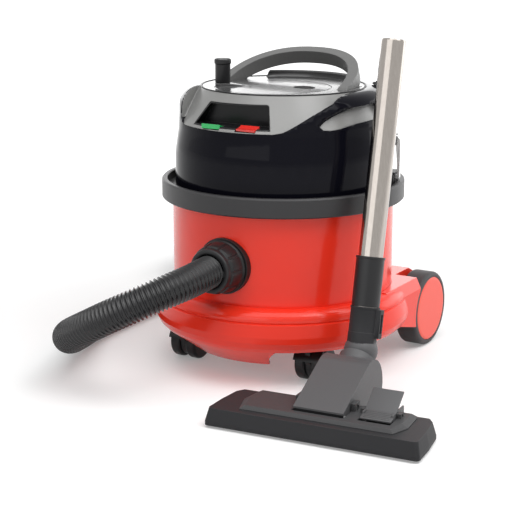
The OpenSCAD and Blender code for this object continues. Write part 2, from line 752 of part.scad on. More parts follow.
// Solid of the head's outside, drawn in by t all over
module head_form(t) {
    top = head_top_z - t;
    difference() {
        rotate_extrude() polygon(concat(
            [[0, head_z - (t > 0 ? 5 : 0)], [head_r - t, head_z - (t > 0 ? 5 : 0)],
             [head_r - t, head_z + 46], [head_r - 5 - t, head_z + 80]],
            arc(shoulder_x, top - shoulder_r + t, shoulder_r - t, 5, 86, 8),
            [[0, top]]));
        // slanted front panel
        intersection() {
            rotate_extrude() polygon([[face_r - t, fascia_z], [head_r + 9, fascia_z - 12],
                [head_r + 9, head_top_z + 30], [top_r - t - 30 * fascia_slope, head_top_z + 30]]);
            fascia_outline(t);
        }
        // smaller panel on its right
        intersection() {
            rotate_extrude() polygon([[face_r - t, leaf_z], [head_r + 9, leaf_z - 8],
                [head_r + 9, leaf_z + 46], [face_r - t - 46 * leaf_slope, leaf_z + 46]]);
            leaf_outline(t);
        }
    }
}

// Front view of the slanted panel, grown by t
module fascia_outline(t) {
    rotate([90, 0, 0]) translate([0, 0, -8]) linear_extrude(head_r + 20) polygon(concat(
        arc(-96 + 9, fascia_z + 9, 9 + t, 180, 270, 5),
        [[60, fascia_z - t], [70, fascia_z + 1.8 - t], [77 + t * 0.5, fascia_z + 5.4 - t * 0.8],
         [88 + t * 0.6, fascia_z + 13 - t * 0.8], [109 + t * 0.6, fascia_z + 29.5 - t * 0.8],
         [117 + t * 0.8, fascia_z + 37.5 - t * 0.4], [119 + t, head_top_z + 30],
         [-96 - t, head_top_z + 30]]));
}

// Front view of the smaller panel, grown by t
module leaf_outline(t) {
    rotate([90, 0, 0]) translate([0, 0, -14]) linear_extrude(head_r + 20) polygon([
        [107.5 - t, leaf_z + 6.5], [112, leaf_z + 2.2 - t], [118, leaf_z + 1.2 - t], [126, leaf_z + 2.4 - t],
        [135, leaf_z + 6.5 - t], [148, leaf_z + 10 - t], [150, leaf_z + 31 + t], [128, leaf_z + 28.5 + t],
        [122.5 - t, leaf_z + 24 + t], [116 - t, leaf_z + 18.5 + t], [110 - t, leaf_z + 12.5 + t]]);
}

// Front view of the switch tray's mouth, drawn in by t
module tray_outline(t, depth) {
    c = 5;
    top = tray_z + 32 - t;
    lean = 10.5;
    rotate([90, 0, 0]) translate([0, 0, tray_y + t]) linear_extrude(depth) polygon(concat(
        [[tray_x0 + 1.6 * t, tray_z + t], [tray_x1 - t, tray_z + t]],
        arc(tray_x1 - lean - c, top - c + t * 0.4, c, 10, 85, 4),
        arc(tray_x0 + 21 + t, top - c - 1, c, 95, 155, 4)));
}

exhaust_z = head_z + 24;
exhaust_h = 34;

module exhaust_window(t) {
    intersection() {
        ring(head_r + 2, head_r - 12, exhaust_z + t, exhaust_z + exhaust_h - t);
        block([-78 + t, 60, 0], [78 - t, 200, 500]);
    }
}

gland_turn = 35;     // angle of the cable outlet behind the machine's right side
gland_r = 6.5;
gland_tilt = 30;     // lean of the cable outlet from upright
shoulder_r = 26;     // radius of the head's rounded shoulder
shoulder_x = top_r + 4.8;

module at_gland() {
    rotate(gland_turn)
        translate([shoulder_x + shoulder_r * sin(gland_tilt), 0,
            head_top_z - shoulder_r * (1 - cos(gland_tilt))])
        rotate([0, gland_tilt, 0]) children();
}

module head_cover() {
    color("#15151a") difference() {
        union() {
            difference() {
                head_form(0);
                head_form(head_wall);
            }
            // ears that carry the latches
            for (a = [latch_turn, 180 - latch_turn]) rotate(a) for (s = wheel_sides)
                block([head_r - 6, s * 10 - 2, latch_z - 7], [latch_pivot + 4, s * 10 + 2, latch_z + 6]);
        }
        translate([0, 0, head_top_z - 9]) cylinder(h = 40, r = top_r - 1);
        tray_outline(0, 60);
        for (x = rocker_x) rocker_pocket(x);
        exhaust_window(0);
        at_gland() translate([0, 0, -30]) cylinder(h = 60, r = gland_r);
        for (a = [latch_turn, 180 - latch_turn]) rotate(a) translate([latch_pivot, 30, latch_z])
            rotate([90, 0, 0]) cylinder(h = 60, r = latch_pin_r + fit);
    }
}

module head_screws() {
    color("silver") for (a = head_screw_turns) rotate(a) translate([head_screw_r, 0, 0]) {
        translate([0, 0, plate_z - 2]) cylinder(h = 2, r = 4);
        translate([0, 0, plate_z - 1]) cylinder(h = plate_t + 8, r = 2);
    }
}

module switch_tray() {
    color("#1b1b1e") difference() {
        intersection() {
            tray_outline(0, 60);
            head_form(0);
        }
        tray_outline(2, 60);
        for (x = rocker_x) rocker_pocket(x);
    }
}

rocker_x = [-29.5, 23.5];
rocker_y = -134.5;
rocker_w = 28;
rocker_half = 7;     // half depth of a rocker

// Slot for a rocker, open to the front
module rocker_pocket(x) {
    block([x - rocker_w / 2 - 0.4, rocker_y - rocker_half - 3, tray_z - 2.4],
        [x + rocker_w / 2 + 0.4, rocker_y + rocker_half + 0.9, tray_z + 9]);
}

// A rocker switch, with the height of its front edge and of its rear edge
module rocker(x, front, rear, paint) {
    d = rocker_half;
    color(paint) translate([x - rocker_w / 2, rocker_y, tray_z]) rotate([90, 0, 90]) linear_extrude(rocker_w)
        polygon([[-d, -1.2], [-d, front], [0, 2], [d, rear], [d, -1], [2, -2], [-2, -2]]);
}

// ---------- top deck and winder ----------

well_x0 = grip_half_w - 0.6;
well_x1 = grip_half_w + band_t + 0.6;
bow_room = 7;        // extra width of a well where the handle's bow draws in
well_z = handle_z - band_depth / 2 - 1;

module top_deck() {
    color("#1a1a1f") difference() {
        union() {
            translate([0, 0, head_top_z - 8]) cylinder(h = 8, r = top_r - 2);
            // edge that the cover holds from above
            intersection() {
                translate([0, 0, head_top_z - 8]) cylinder(h = 8 - head_wall - 0.1, r = top_r + 3);
                block([-200, 15, 0], [200, 200, 500]);
            }
            // raised rim behind the winder
            intersection() {
                rotate_extrude() polygon([[top_r - 14, head_top_z - 1], [top_r - 2, head_top_z - 1],
                    [top_r - 3, head_top_z + 7], [top_r - 6, head_top_z + 9], [top_r - 9, head_top_z + 7]]);
                block([-70, 40, 0], [70, 200, 500]);
            }
            // wells for the handle's feet
            for (s = wheel_sides) {
                block([min(s * (well_x0 - 3), s * (well_x1 + 3)), handle_y - 13, well_z - 3],
                    [max(s * (well_x0 - 3), s * (well_x1 + 3)), handle_y + 43, head_top_z - 7.5]);
                block([min(s * (well_x0 - 3 - bow_room), s * well_x0), handle_y + 7, well_z - 3],
                    [max(s * (well_x0 - 3 - bow_room), s * well_x0), handle_y + 43, head_top_z - 7.5]);
            }
        }
        translate([disc_x, disc_y, disc_z - 0.6]) cylinder(h = 20, r = disc_r + 0.5);
        translate([disc_x, disc_y, 0]) cylinder(h = 500, r = reel_neck_r + 0.5);
        for (s = wheel_sides) {
            block([min(s * well_x0, s * well_x1), handle_y - 10, well_z],
                [max(s * well_x0, s * well_x1), handle_y + 41, head_top_z + 20]);
            block([min(s * (well_x0 - bow_room), s * (well_x0 + 1)), handle_y + 10, well_z],
                [max(s * (well_x0 - bow_room), s * (well_x0 + 1)), handle_y + 41, head_top_z + 20]);
            bar_x(min(s * (well_x0 - 2), s * (well_x1 + 2)), max(s * (well_x0 - 2), s * (well_x1 + 2)),
                handle_pin_r, handle_y, handle_z);
        }
    }
}

reel_neck_r = 16;
reel_core_r = 40;
reel_r = 76;
reel_z = head_top_z - 50;
reel_h = 34;

module cable_reel() {
    color("#2b2b2e") translate([disc_x, disc_y, 0]) difference() {
        union() {
            translate([0, 0, reel_z]) cylinder(h = 2.5, r = reel_r);
            translate([0, 0, reel_z]) cylinder(h = reel_h, r = reel_core_r);
            translate([0, 0, reel_z + reel_h - 2.5]) cylinder(h = 2.5, r = reel_r);
            translate([0, 0, reel_z]) cylinder(h = disc_z - reel_z, r = reel_neck_r);
        }
        translate([0, 0, reel_z - 1]) cylinder(h = reel_h - 3, r = reel_core_r - 3);
        translate([0, 0, reel_z - 1]) cylinder(h = disc_z - reel_z - 4, r = bearing_r + fit);
    }
}

bearing_r = 8;

module reel_bearing() {
    color("silver") translate([disc_x, disc_y, 0]) {
        translate([0, 0, stator_z + 58]) cylinder(h = 3, r = 30);
        translate([0, 0, stator_z + 58]) cylinder(h = disc_z - 12 - stator_z - 58, r = bearing_r);
    }
}

// shallow finger dish and a small index hole in the disc
dish_at = [46, 5];
dish_r = 15;
index_at = [-18, -32];
index_r = 2.8;
dish_z = head_top_z - 1;

module winder_disc() {
    crown = 2.5;
    color("#1c1c22") difference() {
        union() {
            translate([disc_x, disc_y, 0]) rotate_extrude() polygon(concat(
                [[0, disc_z], [disc_r, disc_z], [disc_r, head_top_z - 0.5]],
                [for (i = [0:6]) let (r = disc_r * (1 - i / 6) - (i == 0 ? 1.5 : 0))
                    [max(r, 0), head_top_z + crown * (1 - pow(max(r, 0) / disc_r, 2))]]));
            // raised foot under the knob, running in towards the middle
            hull() {
                translate([knob_x, knob_y, disc_z + 2])
                    cylinder(h = head_top_z - disc_z + 3.5, r = knob_d / 2 - 0.5, $fn = 32);
                translate([knob_x + 34, knob_y + 15, disc_z + 2])
                    cylinder(h = head_top_z - disc_z - 0.5, r = 4, $fn = 32);
            }
        }
        translate([disc_x + dish_at[0], disc_y + dish_at[1], dish_z]) cylinder(h = 10, r = dish_r);
        translate([disc_x + index_at[0], disc_y + index_at[1], dish_z]) cylinder(h = 10, r = index_r);
        translate([knob_x, knob_y, disc_z - 1]) cylinder(h = 40, r = 4 + fit);
    }
}

knob_z = head_top_z + 5.5 + gap;

module crank_knob() {
    r = knob_d / 2;
    color("#141416") translate([knob_x, knob_y, 0]) {
        rotate_extrude() polygon(concat(
            [[0, knob_z], [r - 0.5, knob_z], [r - 0.5, knob_z + knob_h - 7], [r + 0.6, knob_z + knob_h - 6]],
            arc(r - 2.4, knob_z + knob_h - 3, 3, 0, 90, 5), [[0, knob_z + knob_h]]));
        translate([0, 0, disc_z + 0.4]) cylinder(h = knob_z - disc_z, r = 4);
    }
}

// ---------- carry handle ----------

handle_pin_r = 3;
bail_power = 2.3;    // squareness of the handle's bow

// Outline of half a bow: half width a and length h
function bow(a, h, n = 40) = [for (i = [0:n]) let (t = 180 * i / n)
    [a * sign(cos(t)) * pow(abs(cos(t)), 2 / bail_power), h * pow(sin(t), 2 / bail_power)]];

module carry_handle() {
    outer = bow(grip_half_w + band_t, grip_len + band_t);
    inner = bow(grip_half_w, grip_len);
    rev = [for (i = [len(inner) - 1:-1:0]) inner[i]];
    color("#77787a") translate([0, handle_y, handle_z]) rotate([-handle_lean, 0, 0]) difference() {
        union() {
            translate([0, band_depth / 2, 0]) rotate([90, 0, 0]) linear_extrude(band_depth)
                polygon(concat(outer, rev));
            for (s = wheel_sides)
                bar_x(min(s * grip_half_w, s * (grip_half_w + band_t)),
                    max(s * grip_half_w, s * (grip_half_w + band_t)), band_depth / 2, 0, 0);
        }
        bar_x(-grip_half_w - band_t - 1, grip_half_w + band_t + 1, handle_pin_r + fit, 0, 0);
    }
}

module handle_pins() {
    color("silver") for (s = wheel_sides)
        bar_x(min(s * (well_x0 - 2), s * (well_x1 + 2)), max(s * (well_x0 - 2), s * (well_x1 + 2)),
            handle_pin_r, handle_y, handle_z);
}

module cable_gland() {
    color("#0f0f10") at_gland() difference() {
        union() {
            translate([0, 0, -6]) cylinder(h = 12, r = gland_r);
            translate([0, 0, 0.1]) cylinder(h = 3.5, r1 = gland_r + 3.5, r2 = gland_r + 2);
        }
        translate([0, 0, -7]) cylinder(h = 30, r = 4);
    }
}

module exhaust_grille() {
    color("#202024") difference() {
        intersection() {
            exhaust_window(0);
            head_form(0);
        }
        ring(head_r - 5, head_r - 30, exhaust_z + 2, exhaust_z + exhaust_h - 2);
        for (i = [-6:6]) rotate(90 + i * 4.2) translate([head_r - 20, -2.2, exhaust_z + 5])
            cube([40, 4.4, exhaust_h - 10]);
    }
}

// ---------- latches ----------

latch_z = head_z + 66;
latch_pivot = head_r + 4.5;
latch_pin_r = 2;

// One latch on the +X side: lever, pivot pin and hooked foot
module latch_shape() {
    post = latch_post_r + 2.5;
    foot_z = ring_top_z + 2.4;
    color("#b9bbbe") rotate(latch_turn) {
        translate([latch_pivot, 12, latch_z]) rotate([90, 0, 0]) cylinder(h = 24, r = latch_pin_r);
        translate([latch_pivot, 7.4, latch_z]) rotate([90, 0, 0]) cylinder(h = 14.8, r = 5);
        translate([0, 7.4, 0]) rotate([90, 0, 0]) linear_extrude(14.8) polygon([
            [latch_pivot + 1, latch_z + 4.9], [latch_pivot + 5, latch_z + 5.4], [latch_pivot + 9, latch_z],
            [post + 5, latch_z - 20], [post + 4.2, foot_z], [post - 2, foot_z], [post - 2, foot_z + 4],
            [post + 1, foot_z + 5], [post + 1, foot_z + 20], [latch_pivot + 3, latch_z - 4]]);
    }
}

// ---------- floor tool ----------

module at_tool() {
    translate([tool_x, tool_y, 0]) rotate([0, 0, tool_yaw]) children();
}

sole_z = 1.6;
mouth_y0 = 26;
mouth_y1 = 52;
mouth_half_w = 112;
well_half_w = neck_half_w + 1.2;
neck_y = 62;
neck_z = 33;
neck_pin_r = 4;
pedal_y = 60;
pedal_z = 33;
pedal_x0 = 52;
pedal_w = 40;
roller_r = 9;
roller_y = tool_l - 12;
roller_x = 96;
roller_pin_r = 2;

// Plan outline of the tool, drawn in by t
module tool_plan(t) {
    w = tool_w / 2 - t;
    c = 5;
    polygon(concat(arc(w - c, c + t, c, -90, 0, 4), [[w - 1, 40], [w - 5, tool_l - 10 - t]],
        [[w - 12, tool_l - t], [-w + 12, tool_l - t], [-w + 5, tool_l - 10 - t], [-w + 1, 40]],
        arc(-w + c, c + t, c, 180, 270, 4)));
}

module tool_well(z0) {
    block([-well_half_w, 28, z0], [well_half_w, tool_l + 9, 60]);
}

module roller_well(s) {
    block([s * roller_x - 13, roller_y - 11, 0], [s * roller_x + 13, roller_y + 11, 20]);
}

module tool_body() {
    color("#3c3c3e") at_tool() difference() {
        union() {
            difference() {
                hull() {
                    translate([0, 0, sole_z + 1.4]) linear_extrude(5) tool_plan(0);
                    translate([0, 0, tool_h - 2]) linear_extrude(2) tool_plan(4);
                }
                translate([0, 0, sole_z]) linear_extrude(tool_h - sole_z - 3) tool_plan(8);
            }
            // bearings beside the rollers
            for (s = wheel_sides) for (x = [-16, 13])
                block([s * roller_x + x, roller_y - 8, sole_z + 1.4],
                    [s * roller_x + x + 3, roller_y + 5, tool_h - 2]);
        }
        tool_well(0);
        for (s = wheel_sides) {
            roller_well(s);
            bar_x(s * roller_x - 17, s * roller_x + 17, roller_pin_r + fit, roller_y, roller_r);
        }
        pedal_pocket();
    }
}

module pedal_pocket() {
    block([pedal_x0 - 1, 30, 16], [pedal_x0 + pedal_w + 1, tool_l + 5, 60]);
}

module tool_cover() {
    z = tool_h;
    color("#454547") at_tool() difference() {
        union() {
            hull() {
                translate([0, 0, z]) linear_extrude(1) polygon([[-98, 15], [102, 15], [112, 40],
                    [110, tool_l - 7], [-103, tool_l - 7], [-108, 50]]);
                translate([0, 0, z + cover_h - 1]) linear_extrude(1) polygon([[-92, 20], [98, 19], [104, 42],
                    [103, tool_l - 10], [-96, tool_l - 10], [-100, 50]]);
            }
            // lugs beside the neck's well
            for (s = wheel_sides) block([min(s * well_half_w, s * (well_half_w + 5)), neck_y - 8, z],
                [max(s * well_half_w, s * (well_half_w + 5)), neck_y + 8, neck_z + 7]);
            // posts that carry the pedal's pin
            for (x = [pedal_x0 - 6, pedal_x0 + pedal_w + 1.2])
                block([x, pedal_y - 5, z], [x + 4.8, pedal_y + 5, pedal_z + 3]);
        }
        tool_well(0);
        pedal_pocket();
        bar_x(-well_half_w - 6, well_half_w + 6, neck_pin_r + fit, neck_y, neck_z);
        bar_x(pedal_x0 - 12, pedal_x0 + pedal_w + 12, 2 + fit, pedal_y, pedal_z);
    }
}

module sole_plate() {
    color("silver") at_tool() difference() {
        translate([0, 0, sole_z]) linear_extrude(1.4) tool_plan(5);
        block([-mouth_half_w, mouth_y0, 0], [mouth_half_w, mouth_y1, 9]);
        for (y = brush_y) block([-mouth_half_w, y - 2.2, 0], [mouth_half_w, y + 2.2, 9]);
        for (s = wheel_sides) roller_well(s);
    }
}

brush_y = [18, 60];

module brush_strips() {
    color("#8f8f92") at_tool() for (y = brush_y) {
        x1 = y > mouth_y1 ? well_half_w + 6 : 0;
        difference() {
            block([-mouth_half_w + 1, y - 1.6, 1.2], [mouth_half_w - 1, y + 1.6, 8]);
            if (x1 > 0) block([-x1, y - 9, 0], [x1, y + 9, 20]);
            block([roller_x - 14, roller_y - 12, 0], [roller_x + 14, roller_y + 12, 20]);
            block([-roller_x - 14, roller_y - 12, 0], [-roller_x + 14, roller_y + 12, 20]);
        }
    }
}

module pedal() {
    color("#4b4b4e") at_tool() {
        translate([pedal_x0, 0, 0]) rotate([90, 0, 90]) linear_extrude(pedal_w) polygon([
            [33, 31.2], [33, 33.5], [50, 38.5], [84, 52], [87, 50.5], [85, 47], [66, 38], [66, 29.5],
            [54, 29.5], [50, 33]]);
        bar_x(pedal_x0 - 5, pedal_x0 + pedal_w + 5, 2, pedal_y, pedal_z);
    }
}

module tool_rollers() {
    color("#222224") at_tool() for (s = wheel_sides) {
        bar_x(s * roller_x - 10, s * roller_x + 10, roller_r, roller_y, roller_r);
        bar_x(s * roller_x - 15, s * roller_x + 15, roller_pin_r, roller_y, roller_r);
    }
}

// Neck in side view: flat plate in front, round back
elbow_up = 38;       // slope of the neck's outlet above level
elbow_c = [172, 69]; // centre of the ball elbow, as [y, z]
barrel_c = [127, 34];

function neck_side(t) = concat(
    [[31.5 + 2 * t, 32 - t / 2], [31.5 + 2 * t, 34.5 - t]],
    [[barrel_c[0] - neck_r * sin(18.5), barrel_c[1] + neck_r * cos(18.5) - t]],
    arc(barrel_c[0], barrel_c[1], neck_r - t, 100, -38, 12),
    [[120, 9 + t], [98, 15 + t], [88, 24 + t], [neck_y + 12, neck_z - 5 + t], [neck_y - 12, neck_z - 8 + t]]);

module at_elbow() {
    translate([0, elbow_c[0], elbow_c[1]]) rotate([elbow_up - 90, 0, 0]) children();
}

module tool_neck() {
    color("#454547") at_tool() difference() {
        union() {
            translate([-neck_half_w, 0, 0]) rotate([90, 0, 90]) linear_extrude(2 * neck_half_w)
                polygon(neck_side(0));
            at_elbow() translate([0, 0, -40]) cylinder(h = 26, r = 24);
            bar_x(-neck_half_w, neck_half_w, 11, neck_y, neck_z);
            // moulded pins that turn in the cover's lugs
            bar_x(-neck_half_w - 5, neck_half_w + 5, neck_pin_r, neck_y, neck_z);
        }
        translate([-neck_half_w + 4, 0, 0]) rotate([90, 0, 90]) linear_extrude(2 * neck_half_w - 8)
            intersection() {
                polygon(neck_side(4));
                translate([neck_y + 15, 0]) square([200, 200]);
            }
        translate([-neck_half_w + 4, neck_y - 20, 0]) cube([2 * neck_half_w - 8, 46, neck_z - 8]);
        at_elbow() translate([0, 0, -50]) cylinder(h = 60, r = 18 + fit);
    }
}

// Frame of the wand: origin in the ball elbow, Z along the wand
module at_wand() {
    translate([0, elbow_c[0], elbow_c[1]]) rotate([-wand_lean, 0, 0]) children();
}

collar_z0 = 20;
collar_z1 = 57;
sleeve_z1 = 122;

module tool_elbow() {
    color("#3f3f42") at_tool() difference() {
        union() {
            at_elbow() difference() {
                sphere(r = 22);
                translate([0, 0, -33.6]) cube([60, 60, 40], center = true);
            }
            at_elbow() translate([0, 0, -34]) cylinder(h = 25, r = 18);
            at_wand() cylinder(h = collar_z0 + 4, r = 19);
            // locking collar with its clip
            at_wand() translate([0, 0, collar_z0]) cylinder(h = collar_z1 - collar_z0, r = 18.6);
            at_wand() translate([0, 0, collar_z1 - 2]) cylinder(h = 2, r = 19.4);
            at_wand() block([14, -6, collar_z0 - 2], [24, 6, collar_z1 - 2]);
        }
        at_elbow() translate([0, 0, -40]) cylinder(h = 40, r = 15);
        at_wand() translate([0, 0, 0]) cylinder(h = collar_z1 + 1, r = tube_r);
        at_elbow() sphere(r = 15);
        at_wand() block([17, -3.4, collar_z0 + 4], [25, 3.4, collar_z1 - 8]);
    }
}

module wand_sleeve() {
    color("#1d1d1f") at_tool() at_wand() rotate_extrude() polygon([
        [tube_r, collar_z1 + 0.5], [sleeve_d / 2, collar_z1 + 0.5], [sleeve_d / 2, sleeve_z1 - 3],
        [sleeve_d / 2 + 0.8, sleeve_z1 - 2.5], [sleeve_d / 2 + 0.8, sleeve_z1], [tube_r, sleeve_z1]]);
}

module wand_tube() {
    z0 = 26;
    color("#c9c7c3") at_tool() at_wand() rotate_extrude() polygon([
        [tube_r - tube_wall, z0], [tube_r, z0], [tube_r, z0 + wand_len - 2],
        [tube_r - 0.4, z0 + wand_len], [tube_r - tube_wall, z0 + wand_len]]);
}

chassis();
drum();
drum_screws();
bumper_ring();
rear_axle();
axle_clips();
wheel_hub(-1);  // wheel_hub_left
wheel_hub(1);  // wheel_hub_right
tyre(-1);  // tyre_left
tyre(1);  // tyre_right
hub_disc(-1);  // hub_disc_left
hub_disc(1);  // hub_disc_right
castor_fork(-1);  // castor_fork_left
castor_fork(1);  // castor_fork_right
castor_wheels(-1);  // castor_wheels_left
castor_wheels(1);  // castor_wheels_right
castor_axle(-1);  // castor_axle_left
castor_axle(1);  // castor_axle_right
filter_frame();
filter_cloth();
dust_bag();
bag_collar();
inlet_flange();
locking_nut();
hose_spigot();
hose();
hose_coil();
hose_end_cuff();
motor_plate();
motor_seal();
fan_case();
motor_stator();
motor_rotor();
motor_cover();
head_cover();
head_screws();
switch_tray();
rocker(rocker_x[0], 5, 1.4, "#1fae4f");  // rocker_green
rocker(rocker_x[1], 1.2, 5, "#e0483a");  // rocker_red
top_deck();
cable_reel();
reel_bearing();
winder_disc();
crank_knob();
carry_handle();
handle_pins();
cable_gland();
exhaust_grille();
mirror([1, 0, 0]) latch_shape();  // latch_left
latch_shape();  // latch_right
tool_body();
tool_cover();
sole_plate();
brush_strips();
pedal();
tool_rollers();
tool_neck();
tool_elbow();
wand_sleeve();
wand_tube();
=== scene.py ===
# %% [markdown]
# # A tub vacuum cleaner, finished in Blender
# The machine's frame comes from the construction model: every housing, wheel, latch and
# tube is already in its place, in metres. This lesson gives that frame its looks. It adds
# the camera and the hose first, then the finishes, then the pieces that deserve a finer
# shape than the frame gives them, and last the studio.

# %% Load the frame
import math
import json
import bpy
from mathutils import Vector, Matrix

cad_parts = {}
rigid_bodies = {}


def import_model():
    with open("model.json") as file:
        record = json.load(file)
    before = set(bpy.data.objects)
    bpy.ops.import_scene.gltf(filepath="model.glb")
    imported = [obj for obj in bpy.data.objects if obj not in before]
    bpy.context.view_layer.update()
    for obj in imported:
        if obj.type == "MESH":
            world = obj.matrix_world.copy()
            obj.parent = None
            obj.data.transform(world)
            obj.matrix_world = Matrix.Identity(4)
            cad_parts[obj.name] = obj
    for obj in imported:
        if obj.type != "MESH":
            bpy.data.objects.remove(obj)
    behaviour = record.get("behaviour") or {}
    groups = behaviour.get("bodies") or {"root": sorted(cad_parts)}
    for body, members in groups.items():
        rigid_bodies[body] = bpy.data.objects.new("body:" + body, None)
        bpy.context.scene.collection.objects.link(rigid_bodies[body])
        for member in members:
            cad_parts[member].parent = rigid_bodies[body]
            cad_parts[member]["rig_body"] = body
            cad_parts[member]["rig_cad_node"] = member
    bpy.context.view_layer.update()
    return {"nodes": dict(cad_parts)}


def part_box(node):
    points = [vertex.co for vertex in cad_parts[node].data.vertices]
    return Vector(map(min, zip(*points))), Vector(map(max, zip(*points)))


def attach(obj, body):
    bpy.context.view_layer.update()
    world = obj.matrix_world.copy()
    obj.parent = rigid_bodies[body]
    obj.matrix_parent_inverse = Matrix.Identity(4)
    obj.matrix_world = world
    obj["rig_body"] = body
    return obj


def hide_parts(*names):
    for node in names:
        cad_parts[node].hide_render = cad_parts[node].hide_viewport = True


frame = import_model()
nodes = frame["nodes"]
print("nodes in the frame:", len(nodes))
MM = 0.001

# %% [markdown]
# ## Camera
# The camera stands two metres away, a little above the top of the machine, on its front
# right. A long lens keeps the verticals nearly upright, as in a catalogue picture.

# %% Camera
CAMERA_TURN = math.radians(31.0)
CAMERA_RISE = math.radians(13.9)
CAMERA_REACH = 2.0
CAMERA_LENS = 99.01                # millimetres
AIM_LEFT, AIM_UP = 0.0395, 0.1435  # the aim, left of the drum's axis and above the floor
AIM = Vector((-AIM_LEFT * math.cos(CAMERA_TURN), -AIM_LEFT * math.sin(CAMERA_TURN), AIM_UP))
TO_CAMERA = Vector((math.sin(CAMERA_TURN) * math.cos(CAMERA_RISE),
                    -math.cos(CAMERA_TURN) * math.cos(CAMERA_RISE), math.sin(CAMERA_RISE)))
eye = bpy.data.cameras.new("studio_camera")
eye.lens = CAMERA_LENS
camera = bpy.data.objects.new("studio_camera", eye)
bpy.context.scene.collection.objects.link(camera)
camera.location = AIM + TO_CAMERA * CAMERA_REACH
camera.rotation_euler = (math.pi / 2 - CAMERA_RISE, 0, CAMERA_TURN)
bpy.context.scene.camera = camera
print("camera at", [round(c, 3) for c in camera.location])

# %% [markdown]
# ## Working as by hand
# Blender's operators act on whatever is selected, so each step begins with an empty
# selection. These few helpers pick faces or edges by their place or direction, and close
# a piece: its place goes into its mesh, and its object stays at the origin.

# %% Helpers for operators
def clear_choice():
    """Leaves object mode with nothing selected."""
    if bpy.context.mode != "OBJECT":
        bpy.ops.object.mode_set(mode="OBJECT")
    bpy.ops.object.select_all(action="DESELECT")


def choose(piece):
    """Makes one piece the only selected and active one."""
    clear_choice()
    piece.select_set(True)
    bpy.context.view_layer.objects.active = piece


def pick(piece, kind, test):
    """Selects the faces or edges that pass a test, stays in edit mode and gives their number."""
    choose(piece)
    bpy.ops.object.mode_set(mode="EDIT")
    bpy.ops.mesh.select_mode(type=kind)
    bpy.ops.mesh.select_all(action="DESELECT")
    bpy.ops.object.mode_set(mode="OBJECT")
    parts = piece.data.polygons if kind == "FACE" else piece.data.edges
    count = 0
    for part in parts:
        part.select = bool(test(part))
        count += part.select
    bpy.ops.object.mode_set(mode="EDIT")
    return count


def apply_all(piece):
    """Applies every modifier, in order."""
    choose(piece)
    for modifier in list(piece.modifiers):
        bpy.ops.object.modifier_apply(modifier=modifier.name)


def fix_place(piece):
    """Puts a piece's place, turn and scale into its mesh."""
    choose(piece)
    bpy.ops.object.transform_apply(location=True, rotation=True, scale=True)


def settle(piece, name, angle=35):
    """Names a piece, closes its modifiers and place, and smooths what isn't an edge."""
    piece.name = piece.data.name = name
    apply_all(piece)
    fix_place(piece)
    bpy.ops.object.shade_smooth_by_angle(angle=math.radians(angle))
    return piece


def joined(pieces):
    """Joins pieces into the first of them."""
    clear_choice()
    for piece in pieces:
        piece.select_set(True)
    bpy.context.view_layer.objects.active = pieces[0]
    bpy.ops.object.join()
    return pieces[0]


def copy_of(node, name):
    """A merged copy of a frame node, with a mesh of its own."""
    piece = nodes[node].copy()
    piece.data = nodes[node].data.copy()
    piece.parent = None
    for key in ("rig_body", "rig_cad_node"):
        if key in piece:
            del piece[key]
    bpy.context.scene.collection.objects.link(piece)
    piece.hide_viewport = piece.hide_render = False
    piece.name = piece.data.name = name
    choose(piece)
    bpy.ops.object.mode_set(mode="EDIT")
    bpy.ops.mesh.select_mode(type="VERT")
    bpy.ops.mesh.select_all(action="SELECT")
    bpy.ops.mesh.remove_doubles(threshold=0.00001)
    bpy.ops.object.mode_set(mode="OBJECT")
    return piece


def turned(name, profile, sides=64, closed=False):
    """A turned piece about Z: a circle is extruded from ring to ring of (radius, height)."""
    clear_choice()
    r0, z0 = profile[0]
    bpy.ops.mesh.primitive_circle_add(vertices=sides, radius=r0, location=(0, 0, z0),
                                      fill_type="NOTHING")
    piece = bpy.context.object
    fix_place(piece)
    bpy.ops.object.mode_set(mode="EDIT")
    bpy.ops.mesh.select_mode(type="VERT")
    bpy.ops.mesh.select_all(action="SELECT")
    if not closed:
        bpy.ops.mesh.edge_face_add()
    last = r0
    for radius, height in profile[1:]:
        bpy.ops.mesh.extrude_region_move(TRANSFORM_OT_translate={"value": (0, 0, height - z0)})
        bpy.ops.transform.resize(value=(radius / last, radius / last, 1),
                                 center_override=(0, 0, height))
        last, z0 = radius, height
    if closed:
        bpy.ops.mesh.select_all(action="DESELECT")
        bpy.ops.mesh.select_mode(type="EDGE")
        bpy.ops.mesh.select_non_manifold()
        bpy.ops.mesh.bridge_edge_loops()
    bpy.ops.mesh.select_all(action="SELECT")
    bpy.ops.mesh.normals_make_consistent(inside=False)
    bpy.ops.object.mode_set(mode="OBJECT")
    return piece


def soften(piece, width, segments=2, angle=30):
    """Rounds the edges of a piece with a Bevel that apply_all() or settle() then applies."""
    bevel = piece.modifiers.new("rounding", "BEVEL")
    bevel.width = width
    bevel.segments = segments
    bevel.limit_method = "ANGLE"
    bevel.angle_limit = math.radians(angle)


def rounded_bar(size, place, rounding, tilt=0):
    """A bar with softened edges, from a cube that is scaled to its size."""
    clear_choice()
    bpy.ops.mesh.primitive_cube_add(size=1, location=place, rotation=(tilt, 0, 0))
    bar = bpy.context.object
    bar.scale = size
    fix_place(bar)
    soften(bar, rounding)
    apply_all(bar)
    return bar


def repeat_by(piece, name, step, count):
    """An Array modifier that repeats a piece at a fixed step."""
    array = piece.modifiers.new(name, "ARRAY")
    array.use_relative_offset = False
    array.use_constant_offset = True
    array.constant_offset_displace = step
    array.count = count
    return array


# %% [markdown]
# ## The hose
# The hose is a corrugated plastic tube of 44 mm over its ribs and about 2.1 m long. It
# leaves the locking nut on the drum's front, bends round to the left, comes down to the
# floor and runs along the machine. Its spare length lies in one round turn behind it.
# A smooth line through a few points is measured first, because the ribs must be evenly
# spaced along the line, whatever the distance between the points.

